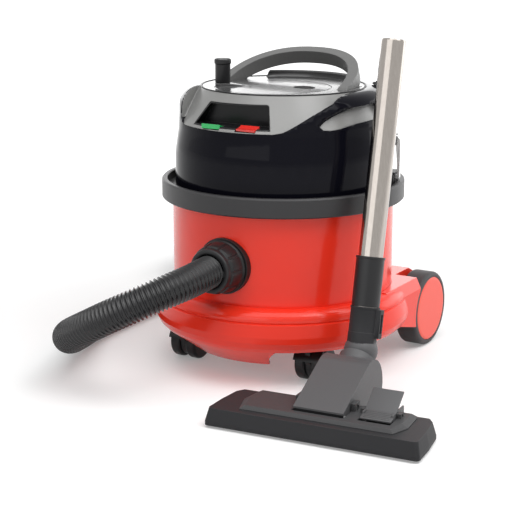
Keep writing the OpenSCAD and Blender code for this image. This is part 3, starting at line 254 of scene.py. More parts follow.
# %% Route of the hose
HOSE_WIDTH = 0.044
FREE_RUN = [(0, -168, 162), (0, -188, 162), (-1, -210, 160), (-6, -237, 156), (-17, -261, 150),
            (-34, -282, 141), (-55, -297, 130), (-80, -306, 117), (-106, -308, 103),
            (-131, -302, 90), (-154, -290, 78), (-173, -273, 67), (-189, -251, 57),
            (-205, -225, 48), (-222, -196, 40), (-239, -166, 32), (-254, -135, 26),
            (-266, -101, 22.5), (-272, -64, 22), (-275, -20, 22), (-277, 30, 22),
            (-279, 80, 22), (-282, 128, 22), (-291, 173, 22), (-305, 216, 22),
            (-318, 238, 22), (-331, 260, 22)]
COIL_RADIUS = 155
COIL_TURN = 432   # degrees of the whole turn
COIL_STEP = 15    # degrees from point to point
CLIMB = 45        # height of the last turn above the first
CLIMB_FROM, CLIMB_OVER = 190, 140


def coil_points(start, before):
    """The lead-in, the turns to the right and the straight end of the spare length."""
    way = (start - before).normalized()
    side = Vector((way.y, -way.x, 0))
    centre = start + 50 * way + COIL_RADIUS * side

    def on_turn(angle):
        a = math.radians(angle)
        t = min(1, max(0, (angle - CLIMB_FROM) / CLIMB_OVER))
        rise = CLIMB * (3 * t * t - 2 * t * t * t)
        return (centre - COIL_RADIUS * math.cos(a) * side
                + COIL_RADIUS * math.sin(a) * way + Vector((0, 0, rise)))

    a = math.radians(COIL_TURN)
    out = math.cos(a) * way + math.sin(a) * side
    turns = [on_turn(angle) for angle in range(0, COIL_TURN + 1, COIL_STEP)]
    end = on_turn(COIL_TURN)
    return [start + 22 * way] + turns + [end + 22 * out, end + 46 * out], out


free_run = [Vector(p) for p in FREE_RUN]
spare, hose_out = coil_points(free_run[-1], free_run[-2])
stops = [p * MM for p in free_run + spare]


def smooth_line(points, steps):
    """A Catmull-Rom line through the points."""
    line = []
    for i in range(len(points) - 1):
        a, b = points[max(i - 1, 0)], points[i]
        c, d = points[i + 1], points[min(i + 2, len(points) - 1)]
        for k in range(steps):
            t = k / steps
            line.append(0.5 * (2 * b + (c - a) * t + (2 * a - 5 * b + 4 * c - d) * t * t
                               + (3 * b - a - 3 * c + d) * t * t * t))
    return line + [points[-1]]


def evenly(line, step):
    """Points along a line at an even distance."""
    lengths = [0.0]
    for a, b in zip(line, line[1:]):
        lengths.append(lengths[-1] + (b - a).length)
    total = lengths[-1]
    count = round(total / step)
    points, k = [], 0
    for i in range(count + 1):
        s = total * i / count
        while k < len(line) - 2 and lengths[k + 1] < s:
            k += 1
        t = (s - lengths[k]) / (lengths[k + 1] - lengths[k])
        points.append(line[k].lerp(line[k + 1], t))
    return points, total


LINE_STEP = 0.004
hose_line, hose_length = evenly(smooth_line(stops, 24), LINE_STEP)
print("hose length", round(hose_length, 4), "m, in", len(hose_line), "points")

# %% [markdown]
# One rib is drawn as a ring of the hose, then an Array modifier repeats it, and a Curve
# modifier lays the straight tube along the line. This keeps every rib the same, as the
# machine that winds the real hose does.

# %% Ribbed hose
RIB_PITCH = 0.0056
RIB_SHOULDER = 0.0007   # the crest's rounding
HOSE_CREST = HOSE_WIDTH / 2 - 0.0001
HOSE_GROOVE = 0.0196


def line_curve(name, points):
    """A plain curve that follows the points."""
    data = bpy.data.curves.new(name, "CURVE")
    data.dimensions = "3D"
    data.twist_mode = "MINIMUM"
    spline = data.splines.new("POLY")
    spline.points.add(len(points) - 1)
    for slot, p in zip(spline.points, points):
        slot.co = (*p, 1)
    curve = bpy.data.objects.new(name, data)
    bpy.context.scene.collection.objects.link(curve)
    return curve


def ribbed(name, line, length, crest, groove, sides=34):
    """A corrugated tube along a line, its ribs a moulded pitch apart."""
    count = round(length / RIB_PITCH)
    pitch = length / count
    shoulder = crest - RIB_SHOULDER
    steps = [(groove, 0.22), (shoulder, 0.38), (crest, 0.46), (crest, 0.58), (shoulder, 0.66),
             (groove, 0.82), (groove, 1)]
    clear_choice()
    bpy.ops.mesh.primitive_circle_add(vertices=sides, radius=groove, rotation=(0, math.pi / 2, 0))
    rib = bpy.context.object
    fix_place(rib)
    bpy.ops.object.mode_set(mode="EDIT")
    bpy.ops.mesh.select_all(action="SELECT")
    radius, place = groove, 0
    for r, share in steps:
        x = share * pitch
        bpy.ops.mesh.extrude_region_move(TRANSFORM_OT_translate={"value": (x - place, 0, 0)})
        bpy.ops.transform.resize(value=(1, r / radius, r / radius), center_override=(x, 0, 0))
        radius, place = r, x
    bpy.ops.object.mode_set(mode="OBJECT")
    repeat = repeat_by(rib, "ribs", (pitch, 0, 0), count)
    repeat.use_merge_vertices = True
    repeat.merge_threshold = 0.00005
    guide = line_curve(name + "_guide", line)
    lay = rib.modifiers.new("lay", "CURVE")
    lay.object = guide
    lay.deform_axis = "POS_X"
    settle(rib, name, 60)
    bpy.data.objects.remove(guide)
    choose(rib)
    bpy.ops.object.mode_set(mode="EDIT")
    bpy.ops.mesh.select_all(action="DESELECT")
    bpy.ops.mesh.select_mode(type="EDGE")
    bpy.ops.mesh.select_non_manifold()
    bpy.ops.mesh.edge_face_add()
    bpy.ops.mesh.select_all(action="SELECT")
    bpy.ops.mesh.normals_make_consistent(inside=False)
    bpy.ops.object.mode_set(mode="OBJECT")
    return rib


hose = ribbed("suction_hose", hose_line, hose_length, HOSE_CREST, HOSE_GROOVE)
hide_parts("hose", "hose_coil")
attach(hose, "tub")
print("hose faces", len(hose.data.polygons))

# %% [markdown]
# ## Finishes
# Nearly everything here is moulded plastic. What tells one plastic from another is how
# it breaks a reflection: the head is polished, the floor tool has a fine spark grain, and
# edges turn a little paler, partly as handling wear and partly as a painted edge highlight.
# Three shader groups hold these effects, and each material places them with its own values.

# %% Node helpers
def wire(tree, value, socket):
    """Links a socket to another one, or gives it a number or a colour."""
    if isinstance(value, bpy.types.NodeSocket):
        tree.links.new(value, socket)
    else:
        socket.default_value = value


def calc(tree, operation, *values, clamp=False):
    """A Math node on numbers or sockets."""
    node = tree.nodes.new("ShaderNodeMath")
    node.operation = operation
    node.use_clamp = clamp
    for value, socket in zip(values, node.inputs):
        wire(tree, value, socket)
    return node.outputs["Value"]


def ranged(tree, value, low, high, to_low=0.0, to_high=1.0):
    """A Map Range node, from low and high to two new values."""
    node = tree.nodes.new("ShaderNodeMapRange")
    for label, number in (("Value", value), ("From Min", low), ("From Max", high),
                          ("To Min", to_low), ("To Max", to_high)):
        wire(tree, number, node.inputs[label])
    return node.outputs["Result"]


def noise(tree, place, scale, detail, rough=0.55):
    """A noise texture's factor, at a place and scale."""
    texture = tree.nodes.new("ShaderNodeTexNoise")
    for label, value in (("Vector", place), ("Scale", scale), ("Detail", detail),
                         ("Roughness", rough)):
        wire(tree, value, texture.inputs[label])
    return texture.outputs["Fac"]


def mixed(tree, factor, first, second):
    """A mix of two colours."""
    node = tree.nodes.new("ShaderNodeMix")
    node.data_type = "RGBA"
    for label, value in (("Factor", factor), ("A", first), ("B", second)):
        wire(tree, value, node.inputs[label])
    return node.outputs["Result"]


# %% Shader groups
COLOUR, NUMBER, ARROW = "NodeSocketColor", "NodeSocketFloat", "NodeSocketVector"
PATCH_SCALE, SPECK_SCALE = 9, 160
WEAR_HIGHLIGHT_FROM, WEAR_HIGHLIGHT_FULL = 0.995, 0.86   # cosine between the flat and the rounded normal


def new_group(name, inputs, outputs):
    """An empty shader group with named sockets, and the two ends inside it."""
    group = bpy.data.node_groups.new(name, "ShaderNodeTree")
    for label, kind, value in inputs:
        socket = group.interface.new_socket(label, in_out="INPUT", socket_type=kind)
        if value is not None:
            socket.default_value = value
    for label, kind in outputs:
        group.interface.new_socket(label, in_out="OUTPUT", socket_type=kind)
    given = group.nodes.new("NodeGroupInput").outputs
    return group, given, group.nodes.new("NodeGroupOutput").inputs


def make_shade_group():
    """Slight patches of tone and gloss, and paler edges that are part wear and part painted
    highlight.
    """
    group, given, result = new_group(
        "plastic_life",
        [("Place", ARROW, None), ("Colour", COLOUR, (0.5, 0.5, 0.5, 1)),
         ("Wear and Highlight Colour", COLOUR, (0.7, 0.7, 0.7, 1)), ("Patches", NUMBER, 0.1),
         ("Wear and Highlight", NUMBER, 0.3), ("Wear and Highlight Width", NUMBER, 0.0012), ("Roughness", NUMBER, 0.4),
         ("Dust", NUMBER, 0.1)],
        [("Colour", COLOUR), ("Roughness", NUMBER)])
    broad = noise(group, given["Place"], PATCH_SCALE, 3)
    fine = noise(group, given["Place"], SPECK_SCALE, 4, 0.7)
    swing = calc(group, "MULTIPLY_ADD", ranged(group, broad, 0.3, 0.7), given["Patches"], 0.97)
    shade = group.nodes.new("ShaderNodeVectorMath")
    shade.operation = "SCALE"
    wire(group, given["Colour"], shade.inputs[0])
    wire(group, swing, shade.inputs["Scale"])
    rounded = group.nodes.new("ShaderNodeBevel")
    rounded.samples = 4
    wire(group, given["Wear and Highlight Width"], rounded.inputs["Radius"])
    flat = group.nodes.new("ShaderNodeNewGeometry")
    turn = group.nodes.new("ShaderNodeVectorMath")
    turn.operation = "DOT_PRODUCT"
    wire(group, rounded.outputs["Normal"], turn.inputs[0])
    wire(group, flat.outputs["Normal"], turn.inputs[1])
    # Edges pale where the flat and rounded normals part: partly handling wear, partly a painted
    # highlight.
    edge = ranged(group, turn.outputs["Value"], WEAR_HIGHLIGHT_FROM, WEAR_HIGHLIGHT_FULL)
    edge_wear_and_highlight = calc(group, "MULTIPLY", calc(group, "MULTIPLY", edge, fine), given["Wear and Highlight"], clamp=True)
    wire(group, mixed(group, edge_wear_and_highlight, shade.outputs["Vector"], given["Wear and Highlight Colour"]),
         result["Colour"])
    wire(group, calc(group, "MULTIPLY_ADD", fine, given["Dust"], given["Roughness"]),
         result["Roughness"])
    return group


def make_grain_group():
    """Height of a moulded surface: a fine spark grain on slow waves."""
    group, given, result = new_group(
        "moulded_grain",
        [("Place", ARROW, None), ("Grain Scale", NUMBER, 900.0), ("Grain", NUMBER, 1.0),
         ("Wave Scale", NUMBER, 40.0), ("Waves", NUMBER, 0.0)],
        [("Height", NUMBER)])
    grain = noise(group, given["Place"], given["Grain Scale"], 2, 0.6)
    waves = noise(group, given["Place"], given["Wave Scale"], 1, 0.5)
    small = calc(group, "MULTIPLY", grain, given["Grain"])
    wire(group, calc(group, "MULTIPLY_ADD", waves, given["Waves"], small), result["Height"])
    return group


def make_metal_group():
    """Drawn or turned metal: long fine scratches along a stretched place."""
    group, given, result = new_group(
        "drawn_metal",
        [("Place", ARROW, None), ("Bright", COLOUR, (0.8, 0.8, 0.8, 1)),
         ("Dull", COLOUR, (0.5, 0.5, 0.5, 1)), ("Roughness", NUMBER, 0.25)],
        [("Colour", COLOUR), ("Roughness", NUMBER), ("Height", NUMBER)])
    lines = noise(group, given["Place"], 420, 5, 0.7)
    wire(group, mixed(group, lines, given["Dull"], given["Bright"]), result["Colour"])
    wire(group, calc(group, "MULTIPLY_ADD", lines, 0.12, given["Roughness"]),
         result["Roughness"])
    wire(group, lines, result["Height"])
    return group


plastic_life = make_shade_group()
moulded_grain = make_grain_group()
drawn_metal = make_metal_group()
print("shader groups:", [g.name for g in bpy.data.node_groups])

# %% [markdown]
# A material keeps its own Principled shader. The groups feed its colour, roughness and
# the height of a bump, whose normal starts from a Bevel node, so that the frame's sharp
# edges catch a fine line of light as moulded edges do. The same rounding could be modelled
# on every node, but the frame's meshes stay as they are, and the shader costs no faces.

# %% Plastic, metal and cloth
def new_material(name):
    """A material, its tree, its shader's sockets and the object's own coordinates."""
    material = bpy.data.materials.new(name)
    material.use_nodes = True
    tree = material.node_tree
    place = tree.nodes.new("ShaderNodeTexCoord").outputs["Object"]
    return material, tree, tree.nodes["Principled BSDF"].inputs, place


def placed(tree, group, values):
    """A shader group, placed in a material with its own values."""
    node = tree.nodes.new("ShaderNodeGroup")
    node.node_tree = group
    for label, value in values.items():
        wire(tree, value, node.inputs[label])
    return node.outputs


def bumped(tree, shader, height, depth, strength=1.0, edge=0):
    """A bump for the shader, over edges that a Bevel node rounds by the width edge."""
    bump = tree.nodes.new("ShaderNodeBump")
    bump.inputs["Strength"].default_value = strength
    bump.inputs["Distance"].default_value = depth
    wire(tree, height, bump.inputs["Height"])
    if edge:
        rounded = tree.nodes.new("ShaderNodeBevel")
        rounded.samples = 4
        rounded.inputs["Radius"].default_value = edge
        wire(tree, rounded.outputs["Normal"], bump.inputs["Normal"])
    wire(tree, bump.outputs["Normal"], shader["Normal"])


def plastic(name, colour, rough, grain=1.0, grain_scale=900, depth=0.00002, waves=0.0,
            edge_wear_and_highlight=0.35, wear_and_highlight_colour=None, patches=0.06, dust=0.08, coat=0.0, edge=0.0007, level=0.5):
    """A moulded plastic with its own colour, gloss and grain, and paler edges of wear and painted
    highlight.
    """
    material, tree, shader, place = new_material(name)
    # The paler edge colour is partly wear and partly a painted highlight.
    paler = wear_and_highlight_colour or tuple(c + (1 - c) * 0.22 for c in colour)
    life = placed(tree, plastic_life, {
        "Place": place, "Colour": (*colour, 1), "Wear and Highlight Colour": (*paler, 1),
        "Patches": patches, "Wear and Highlight": edge_wear_and_highlight, "Roughness": rough, "Dust": dust})
    wire(tree, life["Colour"], shader["Base Color"])
    wire(tree, life["Roughness"], shader["Roughness"])
    surface = placed(tree, moulded_grain, {
        "Place": place, "Grain Scale": grain_scale, "Grain": grain, "Waves": waves})
    bumped(tree, shader, surface["Height"], depth, 0.6, edge)
    shader["Specular IOR Level"].default_value = level
    shader["Coat Weight"].default_value = coat
    shader["Coat Roughness"].default_value = 0.03
    return material


def metal(name, bright, dull, rough, stretch=(1, 1, 1), depth=0.000004, edge=0.0004):
    """A metal whose scratches run along the axis that is stretched."""
    material, tree, shader, place = new_material(name)
    longer = tree.nodes.new("ShaderNodeMapping")
    longer.inputs["Scale"].default_value = stretch
    wire(tree, place, longer.inputs["Vector"])
    drawn = placed(tree, drawn_metal, {
        "Place": longer.outputs["Vector"], "Bright": (*bright, 1), "Dull": (*dull, 1),
        "Roughness": rough})
    wire(tree, drawn["Colour"], shader["Base Color"])
    wire(tree, drawn["Roughness"], shader["Roughness"])
    bumped(tree, shader, drawn["Height"], depth, 0.5, edge)
    shader["Metallic"].default_value = 1.0
    return material


def cloth(name, colour, dark, scale, depth, sheen=0.3):
    """A felt or woven cloth: two crossed waves broken by noise."""
    material, tree, shader, place = new_material(name)
    weave = []
    for direction in ("X", "Z"):
        wave = tree.nodes.new("ShaderNodeTexWave")
        wave.bands_direction = direction
        wave.inputs["Scale"].default_value = scale
        wave.inputs["Distortion"].default_value = 1.5
        wave.inputs["Detail"].default_value = 2
        wire(tree, place, wave.inputs["Vector"])
        weave.append(wave.outputs["Fac"])
    cross = calc(tree, "MULTIPLY", *weave)
    wire(tree, mixed(tree, cross, (*dark, 1), (*colour, 1)), shader["Base Color"])
    bumped(tree, shader, cross, depth)
    shader["Roughness"].default_value = 0.9
    shader["Sheen Weight"].default_value = sheen
    return material


# %% [markdown]
# Each finish below is one moulding compound, paint or metal of the machine. The values
# could be typed into a dozen copied materials, but one function call for each keeps them
# side by side, where a reader can compare a polished black with a grained one.

# %% Materials
red_gloss = plastic("red_gloss", (0.88, 0.036, 0.016), 0.18, grain=0.15, grain_scale=300,
                    waves=1.0, depth=0.00006, wear_and_highlight_colour=(0.95, 0.16, 0.11), coat=0.12, dust=0.05,
                    level=0.25)
red_satin = plastic("red_satin", (0.92, 0.09, 0.055), 0.34, grain=0.5, grain_scale=700,
                    depth=0.00003, wear_and_highlight_colour=(0.85, 0.2, 0.15))
black_gloss = plastic("black_gloss", (0.0045, 0.0045, 0.008), 0.07, grain=0.1, grain_scale=300,
                      waves=1.0, depth=0.00004, coat=0.05, edge_wear_and_highlight=0.15, dust=0.03,
                      wear_and_highlight_colour=(0.12, 0.12, 0.13), edge=0.0012, level=0.05)
# Painted reflection: a grey colour for the light that the glossy black fascia reflects.
painted_reflection_grey = plastic("painted_reflection_grey", (0.24, 0.24, 0.235), 0.26, grain=0.4, grain_scale=700,
                     depth=0.00002, wear_and_highlight_colour=(0.45, 0.45, 0.44), edge=0.0012)
deck_grey = plastic("deck_grey", (0.055, 0.055, 0.056), 0.2, grain=0.3, grain_scale=600,
                    waves=0.6, depth=0.00003, coat=0.2, wear_and_highlight_colour=(0.4, 0.4, 0.4), edge=0.0012)
deck_dark = plastic("deck_dark", (0.03, 0.03, 0.033), 0.16, grain=0.3, grain_scale=600,
                    waves=0.6, depth=0.00003, coat=0.4, edge=0.0012)
tray_black = plastic("tray_black", (0.005, 0.005, 0.006), 0.28, grain=0.6, depth=0.00003,
                     level=0.2)
ring_black = plastic("ring_black", (0.024, 0.0235, 0.025), 0.38, grain=0.8, depth=0.00003,
                     wear_and_highlight_colour=(0.16, 0.16, 0.16), edge=0.0012, level=0.35)
handle_grey = plastic("handle_grey", (0.12, 0.12, 0.118), 0.40, grain=0.9, depth=0.00003,
                      wear_and_highlight_colour=(0.36, 0.36, 0.36), edge=0.0018)
tyre_rubber = plastic("tyre_rubber", (0.05, 0.05, 0.052), 0.55, grain=1.0, depth=0.00005,
                      wear_and_highlight_colour=(0.13, 0.13, 0.13), level=0.35)
castor_black = plastic("castor_black", (0.012, 0.012, 0.013), 0.3, grain=0.7, depth=0.00003,
                       wear_and_highlight_colour=(0.1, 0.1, 0.1), level=0.25)
hose_black = plastic("hose_black", (0.006, 0.006, 0.007), 0.22, grain=0.6, depth=0.00003,
                     wear_and_highlight_colour=(0.10, 0.10, 0.10), edge_wear_and_highlight=0.1, edge=0.0002, level=0.45)
nut_black = plastic("nut_black", (0.013, 0.013, 0.014), 0.34, grain=0.8, depth=0.00003,
                    wear_and_highlight_colour=(0.14, 0.14, 0.14), level=0.3)
tool_grey = plastic("tool_grey", (0.074, 0.074, 0.077), 0.50, grain=1.4, grain_scale=1100,
                    depth=0.00005, wear_and_highlight_colour=(0.2, 0.2, 0.2), edge_wear_and_highlight=0.5)
tool_dark = plastic("tool_dark", (0.027, 0.027, 0.029), 0.48, grain=1.3, grain_scale=1100,
                    depth=0.00005, wear_and_highlight_colour=(0.15, 0.15, 0.15), edge_wear_and_highlight=0.5, level=0.15)
tool_mid = plastic("tool_mid", (0.052, 0.052, 0.054), 0.50, grain=1.4, grain_scale=1100,
                   depth=0.00005, wear_and_highlight_colour=(0.18, 0.18, 0.18), edge_wear_and_highlight=0.5, level=0.25)
green_key = plastic("green_key", (0.0, 0.42, 0.09), 0.28, grain=0.4, depth=0.00002,
                    wear_and_highlight_colour=(0.1, 0.6, 0.22), coat=0.3)
red_key = plastic("red_key", (0.66, 0.025, 0.018), 0.28, grain=0.4, depth=0.00002,
                  wear_and_highlight_colour=(0.85, 0.2, 0.15), coat=0.3)
inner_grey = plastic("inner_grey", (0.09, 0.09, 0.094), 0.5, grain=1.0, depth=0.00004)
seal_foam = plastic("seal_foam", (0.03, 0.03, 0.03), 0.9, grain=3.0, grain_scale=500,
                    depth=0.0003, level=0.2)
wand_steel = metal("wand_steel", (0.42, 0.39, 0.36), (0.31, 0.28, 0.255), 0.08, (1, 1, 0.03))
plain_steel = metal("plain_steel", (0.62, 0.62, 0.61), (0.45, 0.45, 0.44), 0.28, (0.3, 1, 1))
latch_steel = metal("latch_steel", (0.66, 0.66, 0.66), (0.5, 0.5, 0.5), 0.2, (1, 1, 0.1))
sole_steel = metal("sole_steel", (0.6, 0.6, 0.6), (0.42, 0.42, 0.42), 0.3, (0.04, 1, 1))
cast_metal = metal("cast_metal", (0.5, 0.5, 0.52), (0.36, 0.36, 0.38), 0.42, (0.6, 0.6, 0.6),
                   0.00003)
copper_wire = metal("copper_wire", (0.72, 0.33, 0.16), (0.45, 0.18, 0.08), 0.3, (6, 6, 0.3),
                    0.0003)
bag_felt = cloth("bag_felt", (0.62, 0.6, 0.55), (0.42, 0.4, 0.36), 220, 0.0004)
filter_felt = cloth("filter_felt", (0.72, 0.72, 0.7), (0.5, 0.5, 0.5), 260, 0.0003)
brush_nylon = plastic("brush_nylon", (0.1, 0.1, 0.105), 0.5, grain=0.4, depth=0.00002)
print("materials:", len(bpy.data.materials))

# %% [markdown]
# The frame's nodes take these finishes in their own material slots. The table below is
# the parts list of the machine, sorted by what each piece is made of.

# %% Finish of each node
FINISH = {
    red_gloss: ["chassis", "drum"],
    red_satin: ["hub_disc_left", "hub_disc_right"],
    black_gloss: ["head_cover"],
    deck_grey: ["winder_disc", "top_deck"],
    deck_dark: ["exhaust_grille"],
    tray_black: ["switch_tray"],
    ring_black: ["bumper_ring"],
    handle_grey: ["carry_handle"],
    tyre_rubber: ["tyre_left", "tyre_right", "tool_rollers"],
    castor_black: ["castor_fork_left", "castor_fork_right", "castor_wheels_left",
                   "castor_wheels_right", "crank_knob", "cable_gland"],
    nut_black: ["locking_nut", "inlet_flange", "hose_end_cuff", "hose", "hose_coil",
                "hose_spigot", "wand_sleeve", "wheel_hub_left", "wheel_hub_right"],
    tool_grey: ["tool_neck", "tool_elbow", "pedal"],
    tool_mid: ["tool_cover"],
    tool_dark: ["tool_body"],
    green_key: ["rocker_green"],
    red_key: ["rocker_red"],
    inner_grey: ["filter_frame", "bag_collar", "motor_plate", "motor_cover", "cable_reel"],
    seal_foam: ["motor_seal"],
    wand_steel: ["wand_tube"],
    plain_steel: ["drum_screws", "head_screws", "rear_axle", "axle_clips", "castor_axle_left",
                  "castor_axle_right", "handle_pins", "reel_bearing"],
    sole_steel: ["sole_plate"],
    cast_metal: ["fan_case", "motor_rotor"],
    copper_wire: ["motor_stator"],
    bag_felt: ["dust_bag"],
    filter_felt: ["filter_cloth"],
    brush_nylon: ["brush_strips"],
    latch_steel: ["latch_left", "latch_right"],
}


def finish_with(piece, material):
    """Gives a piece one material."""
    if piece.material_slots:
        for slot in piece.material_slots:
            slot.material = material
    else:
        piece.data.materials.append(material)


for material, names in FINISH.items():
    for name in names:
        finish_with(nodes[name], material)
finish_with(hose, hose_black)
left = sorted(set(nodes) - {n for names in FINISH.values() for n in names})
print("nodes without a finish:", left)

# %% [markdown]
# ## Motor head
# The head is one polished moulding with a barrel-shaped side. It could be turned afresh,
# but its recess, its panel and its slots would have to be cut again, so a copy of the
# frame's shell is merged instead, which lets its facets share corners. Its normals are
# weighted by the size of the faces, so that long reflections run round without a break.

# %% Head shell
def weighted(piece, name, angle):
    """Settles a piece and lets its large faces lead the shading."""
    settle(piece, name, angle)
    weigh = piece.modifiers.new("weigh", "WEIGHTED_NORMAL")
    weigh.keep_sharp = True
    apply_all(piece)
    return piece


head_shell = weighted(copy_of("head_cover", "head_shell"), "head_shell", 40)
finish_with(head_shell, black_gloss)
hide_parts("head_cover")
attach(head_shell, "head")
print("head shell faces", len(head_shell.data.polygons))

# %% [markdown]
# Two slanted panels are set into the head's front and right side. Each lies on a cone.
# A new cone could be cut to their outline, but it would never follow the shell exactly.
# So the faces of the shell that lie on such a cone are kept, the rest of the copy goes,
# and Solidify gives the sheet the thickness of a moulded insert with a rounded rim.
# Their grey is a painted reflection of the light on the head's glossy black fascia.

# %% Slanted panels
PANEL_FOOT = 0.1452                # radius of both cones at their foot
DECK_RADIUS, DECK_HEIGHT = 0.114, 0.386
FRONT_FOOT, SIDE_FOOT = 0.339, 0.341
SIDE_SLOPE = 0.5                   # radius lost for each unit of height
PANELS = {"front_panel": (FRONT_FOOT, (PANEL_FOOT - DECK_RADIUS) / (DECK_HEIGHT - FRONT_FOOT)),
          "side_panel": (SIDE_FOOT, SIDE_SLOPE)}
PANEL_BACK = 0.09                  # faces behind this line belong to the shell alone
WALL_X = -0.096                    # the upright wall at the front panel's left end
WALL_FOOT, WALL_BACK = 0.338, -0.05
BEND_WIDTH, SKIN_THICK, RIM = 0.007, 0.0006, 0.0002
CLOSE = 0.0002                     # how near a corner counts as lying on a surface


def off_cone(p, foot_z, slope):
    """How far a point lies from a cone of that foot and slope, measured level."""
    return abs(math.hypot(p.x, p.y) - (PANEL_FOOT - (p.z - foot_z) * slope))


def corners(part):
    """The corner points of a face or edge."""
    return [part.id_data.vertices[i].co for i in part.vertices]


def on_cone(face, foot_z, slope):
    """True for a face in front of the handle whose corners lie on the cone."""
    return all(p.z >= foot_z - 2 * CLOSE and p.y <= PANEL_BACK
               and off_cone(p, foot_z, slope) <= CLOSE for p in corners(face))


def on_left_wall(face):
    """True for a face of the upright wall at the front panel's left end."""
    return all(abs(p.x - WALL_X) < CLOSE and p.z > WALL_FOOT and p.y < WALL_BACK
               for p in corners(face))


for name, (foot_z, slope) in PANELS.items():
    front = name == "front_panel"
    insert = copy_of("head_cover", name)
    dropped = pick(insert, "FACE", lambda face: not (
        on_cone(face, foot_z, slope) or (front and on_left_wall(face))))
    bpy.ops.mesh.delete(type="FACE")
    bpy.ops.object.mode_set(mode="OBJECT")
    # The grey wall and its bend carry the painted reflection round the panel's left end.
    if front:
        bend = pick(insert, "EDGE", lambda edge: all(
            abs(p.x - WALL_X) < CLOSE and off_cone(p, foot_z, slope) < CLOSE
            for p in corners(edge)))
        bpy.ops.mesh.bevel(offset=BEND_WIDTH, offset_type="OFFSET", segments=5,
                           affect="EDGES", clamp_overlap=True)
        bpy.ops.object.mode_set(mode="OBJECT")
        print("edges in the bend", bend)
    skin = insert.modifiers.new("skin", "SOLIDIFY")
    skin.thickness = SKIN_THICK
    skin.offset = 0
    soften(insert, RIM, 2, 50)
    weighted(insert, name, 40)
    finish_with(insert, painted_reflection_grey)
    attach(insert, "head")
    print(name, "faces", len(insert.data.polygons), "left out", dropped)

# %% [markdown]
# A thin soft lip closes the joint between the head and its round deck. From the front it
# reads as a fine dark line. A bead on the shell's own rim would share the shell's gloss,
# so the lip is a turned ring of its own, with a rounded top.

# %% Deck lip
LIP_RADIUS, LIP_FOOT = 0.1143, 0.3853
lip = turned("lip", [(LIP_RADIUS - 0.0009, LIP_FOOT), (LIP_RADIUS - 0.0008, LIP_FOOT + 0.0012),
                     (LIP_RADIUS, LIP_FOOT + 0.0017), (LIP_RADIUS + 0.0008, LIP_FOOT + 0.0012),
                     (LIP_RADIUS + 0.0009, LIP_FOOT)], 120, closed=True)
settle(lip, "deck_lip", 60)
finish_with(lip, tray_black)
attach(lip, "head")
print("lip faces", len(lip.data.polygons))

# %% [markdown]
# ## Crank knob
# The knob is turned: a plain grip, a rolled collar and a shallow dish on top, like a
# chair leg on a lathe. Stacked cylinders would leave hard steps between these forms. A
# circle that is extruded from ring to ring gives the whole profile as one skin.

# %% Crank knob
DISC_CENTRE = Vector((-0.002, -0.025, 0))
KNOB_ANGLE = math.radians(209.7)
KNOB_REACH = 0.069
knob_place = DISC_CENTRE + KNOB_REACH * Vector((math.cos(KNOB_ANGLE), math.sin(KNOB_ANGLE), 0))
KNOB_FOOT = 0.3918
KNOB_TOP = KNOB_FOOT + 0.033
knob = turned("knob", [(0.0002, 0.3816), (0.0038, 0.3816), (0.0038, KNOB_FOOT),
                       (0.0102, KNOB_FOOT), (0.0105, KNOB_FOOT + 0.0008),
                       (0.0105, KNOB_TOP - 0.0085), (0.0107, KNOB_TOP - 0.0075),
                       (0.0114, KNOB_TOP - 0.0070), (0.0116, KNOB_TOP - 0.0062),
                       (0.0116, KNOB_TOP - 0.0026), (0.0113, KNOB_TOP - 0.0012),
                       (0.0104, KNOB_TOP - 0.0005), (0.0095, KNOB_TOP - 0.0003),
                       (0.0088, KNOB_TOP - 0.0009), (0.0002, KNOB_TOP - 0.0007)], 48)
knob.location = (knob_place.x, knob_place.y, 0)
settle(knob, "crank_grip", 45)
finish_with(knob, castor_black)
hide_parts("crank_knob")
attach(knob, "knob")
print("knob faces", len(knob.data.polygons))

# %% [markdown]
# ## Locking nut
# The nut turns on the inlet and is gripped with the whole hand, so its cone carries ten
# raised pads with gaps between them. Ten separate pads could be laid on it, but they
# would only touch the cone. Here the cone is turned as a closed ring, and every pad is a
# patch of its own faces, chosen by their place and pushed outwards with an inset.

# %% Nut
NUT_FOOT, NUT_LENGTH, NUT_GRIPS = 0.1603, 0.034, 10
INLET_HEIGHT = 0.162
GRIP_FOOT, GRIP_TOP = 0.0062, 0.0253   # along the nut's axis
GRIP_FROM, GRIP_TO = 4, 32             # degrees within each tenth of the turn
BORE_REACH = 0.029                     # faces nearer to the axis belong to the bore
nut = turned("nut", [(0.0228, 0.0002), (0.0345, 0.0002), (0.0358, 0.0012), (0.0358, 0.0024),
                     (0.0342, 0.0034), (0.0334, 0.0060), (0.0305, 0.0255), (0.0300, 0.0278),
                     (0.0300, 0.0320), (0.0292, 0.0335), (0.0270, NUT_LENGTH - 0.0001),
                     (0.0240, NUT_LENGTH - 0.0001), (0.0228, NUT_LENGTH - 0.0012)], 120,
             closed=True)


def on_grip(face):
    """True on the cone, and eight faces in every twelve round it."""
    reach = math.hypot(face.center.x, face.center.y)
    turn = math.degrees(math.atan2(face.center.y, face.center.x)) % 360
    return (GRIP_FOOT < face.center.z < GRIP_TOP and reach > BORE_REACH
            and GRIP_FROM < turn % (360 / NUT_GRIPS) < GRIP_TO)


pads = pick(nut, "FACE", on_grip)
bpy.ops.mesh.inset(thickness=0.0007, depth=0.0017)
bpy.ops.object.mode_set(mode="OBJECT")
soften(nut, 0.0004, 2, 28)
nut.matrix_world = (Matrix.Translation((0, -NUT_FOOT, INLET_HEIGHT))
                    @ Matrix.Rotation(math.pi / 2, 4, "X"))
settle(nut, "ribbed_nut", 40)
finish_with(nut, nut_black)
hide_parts("locking_nut")
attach(nut, "hose_nut")
print("nut faces", len(nut.data.polygons), "pad faces", pads)

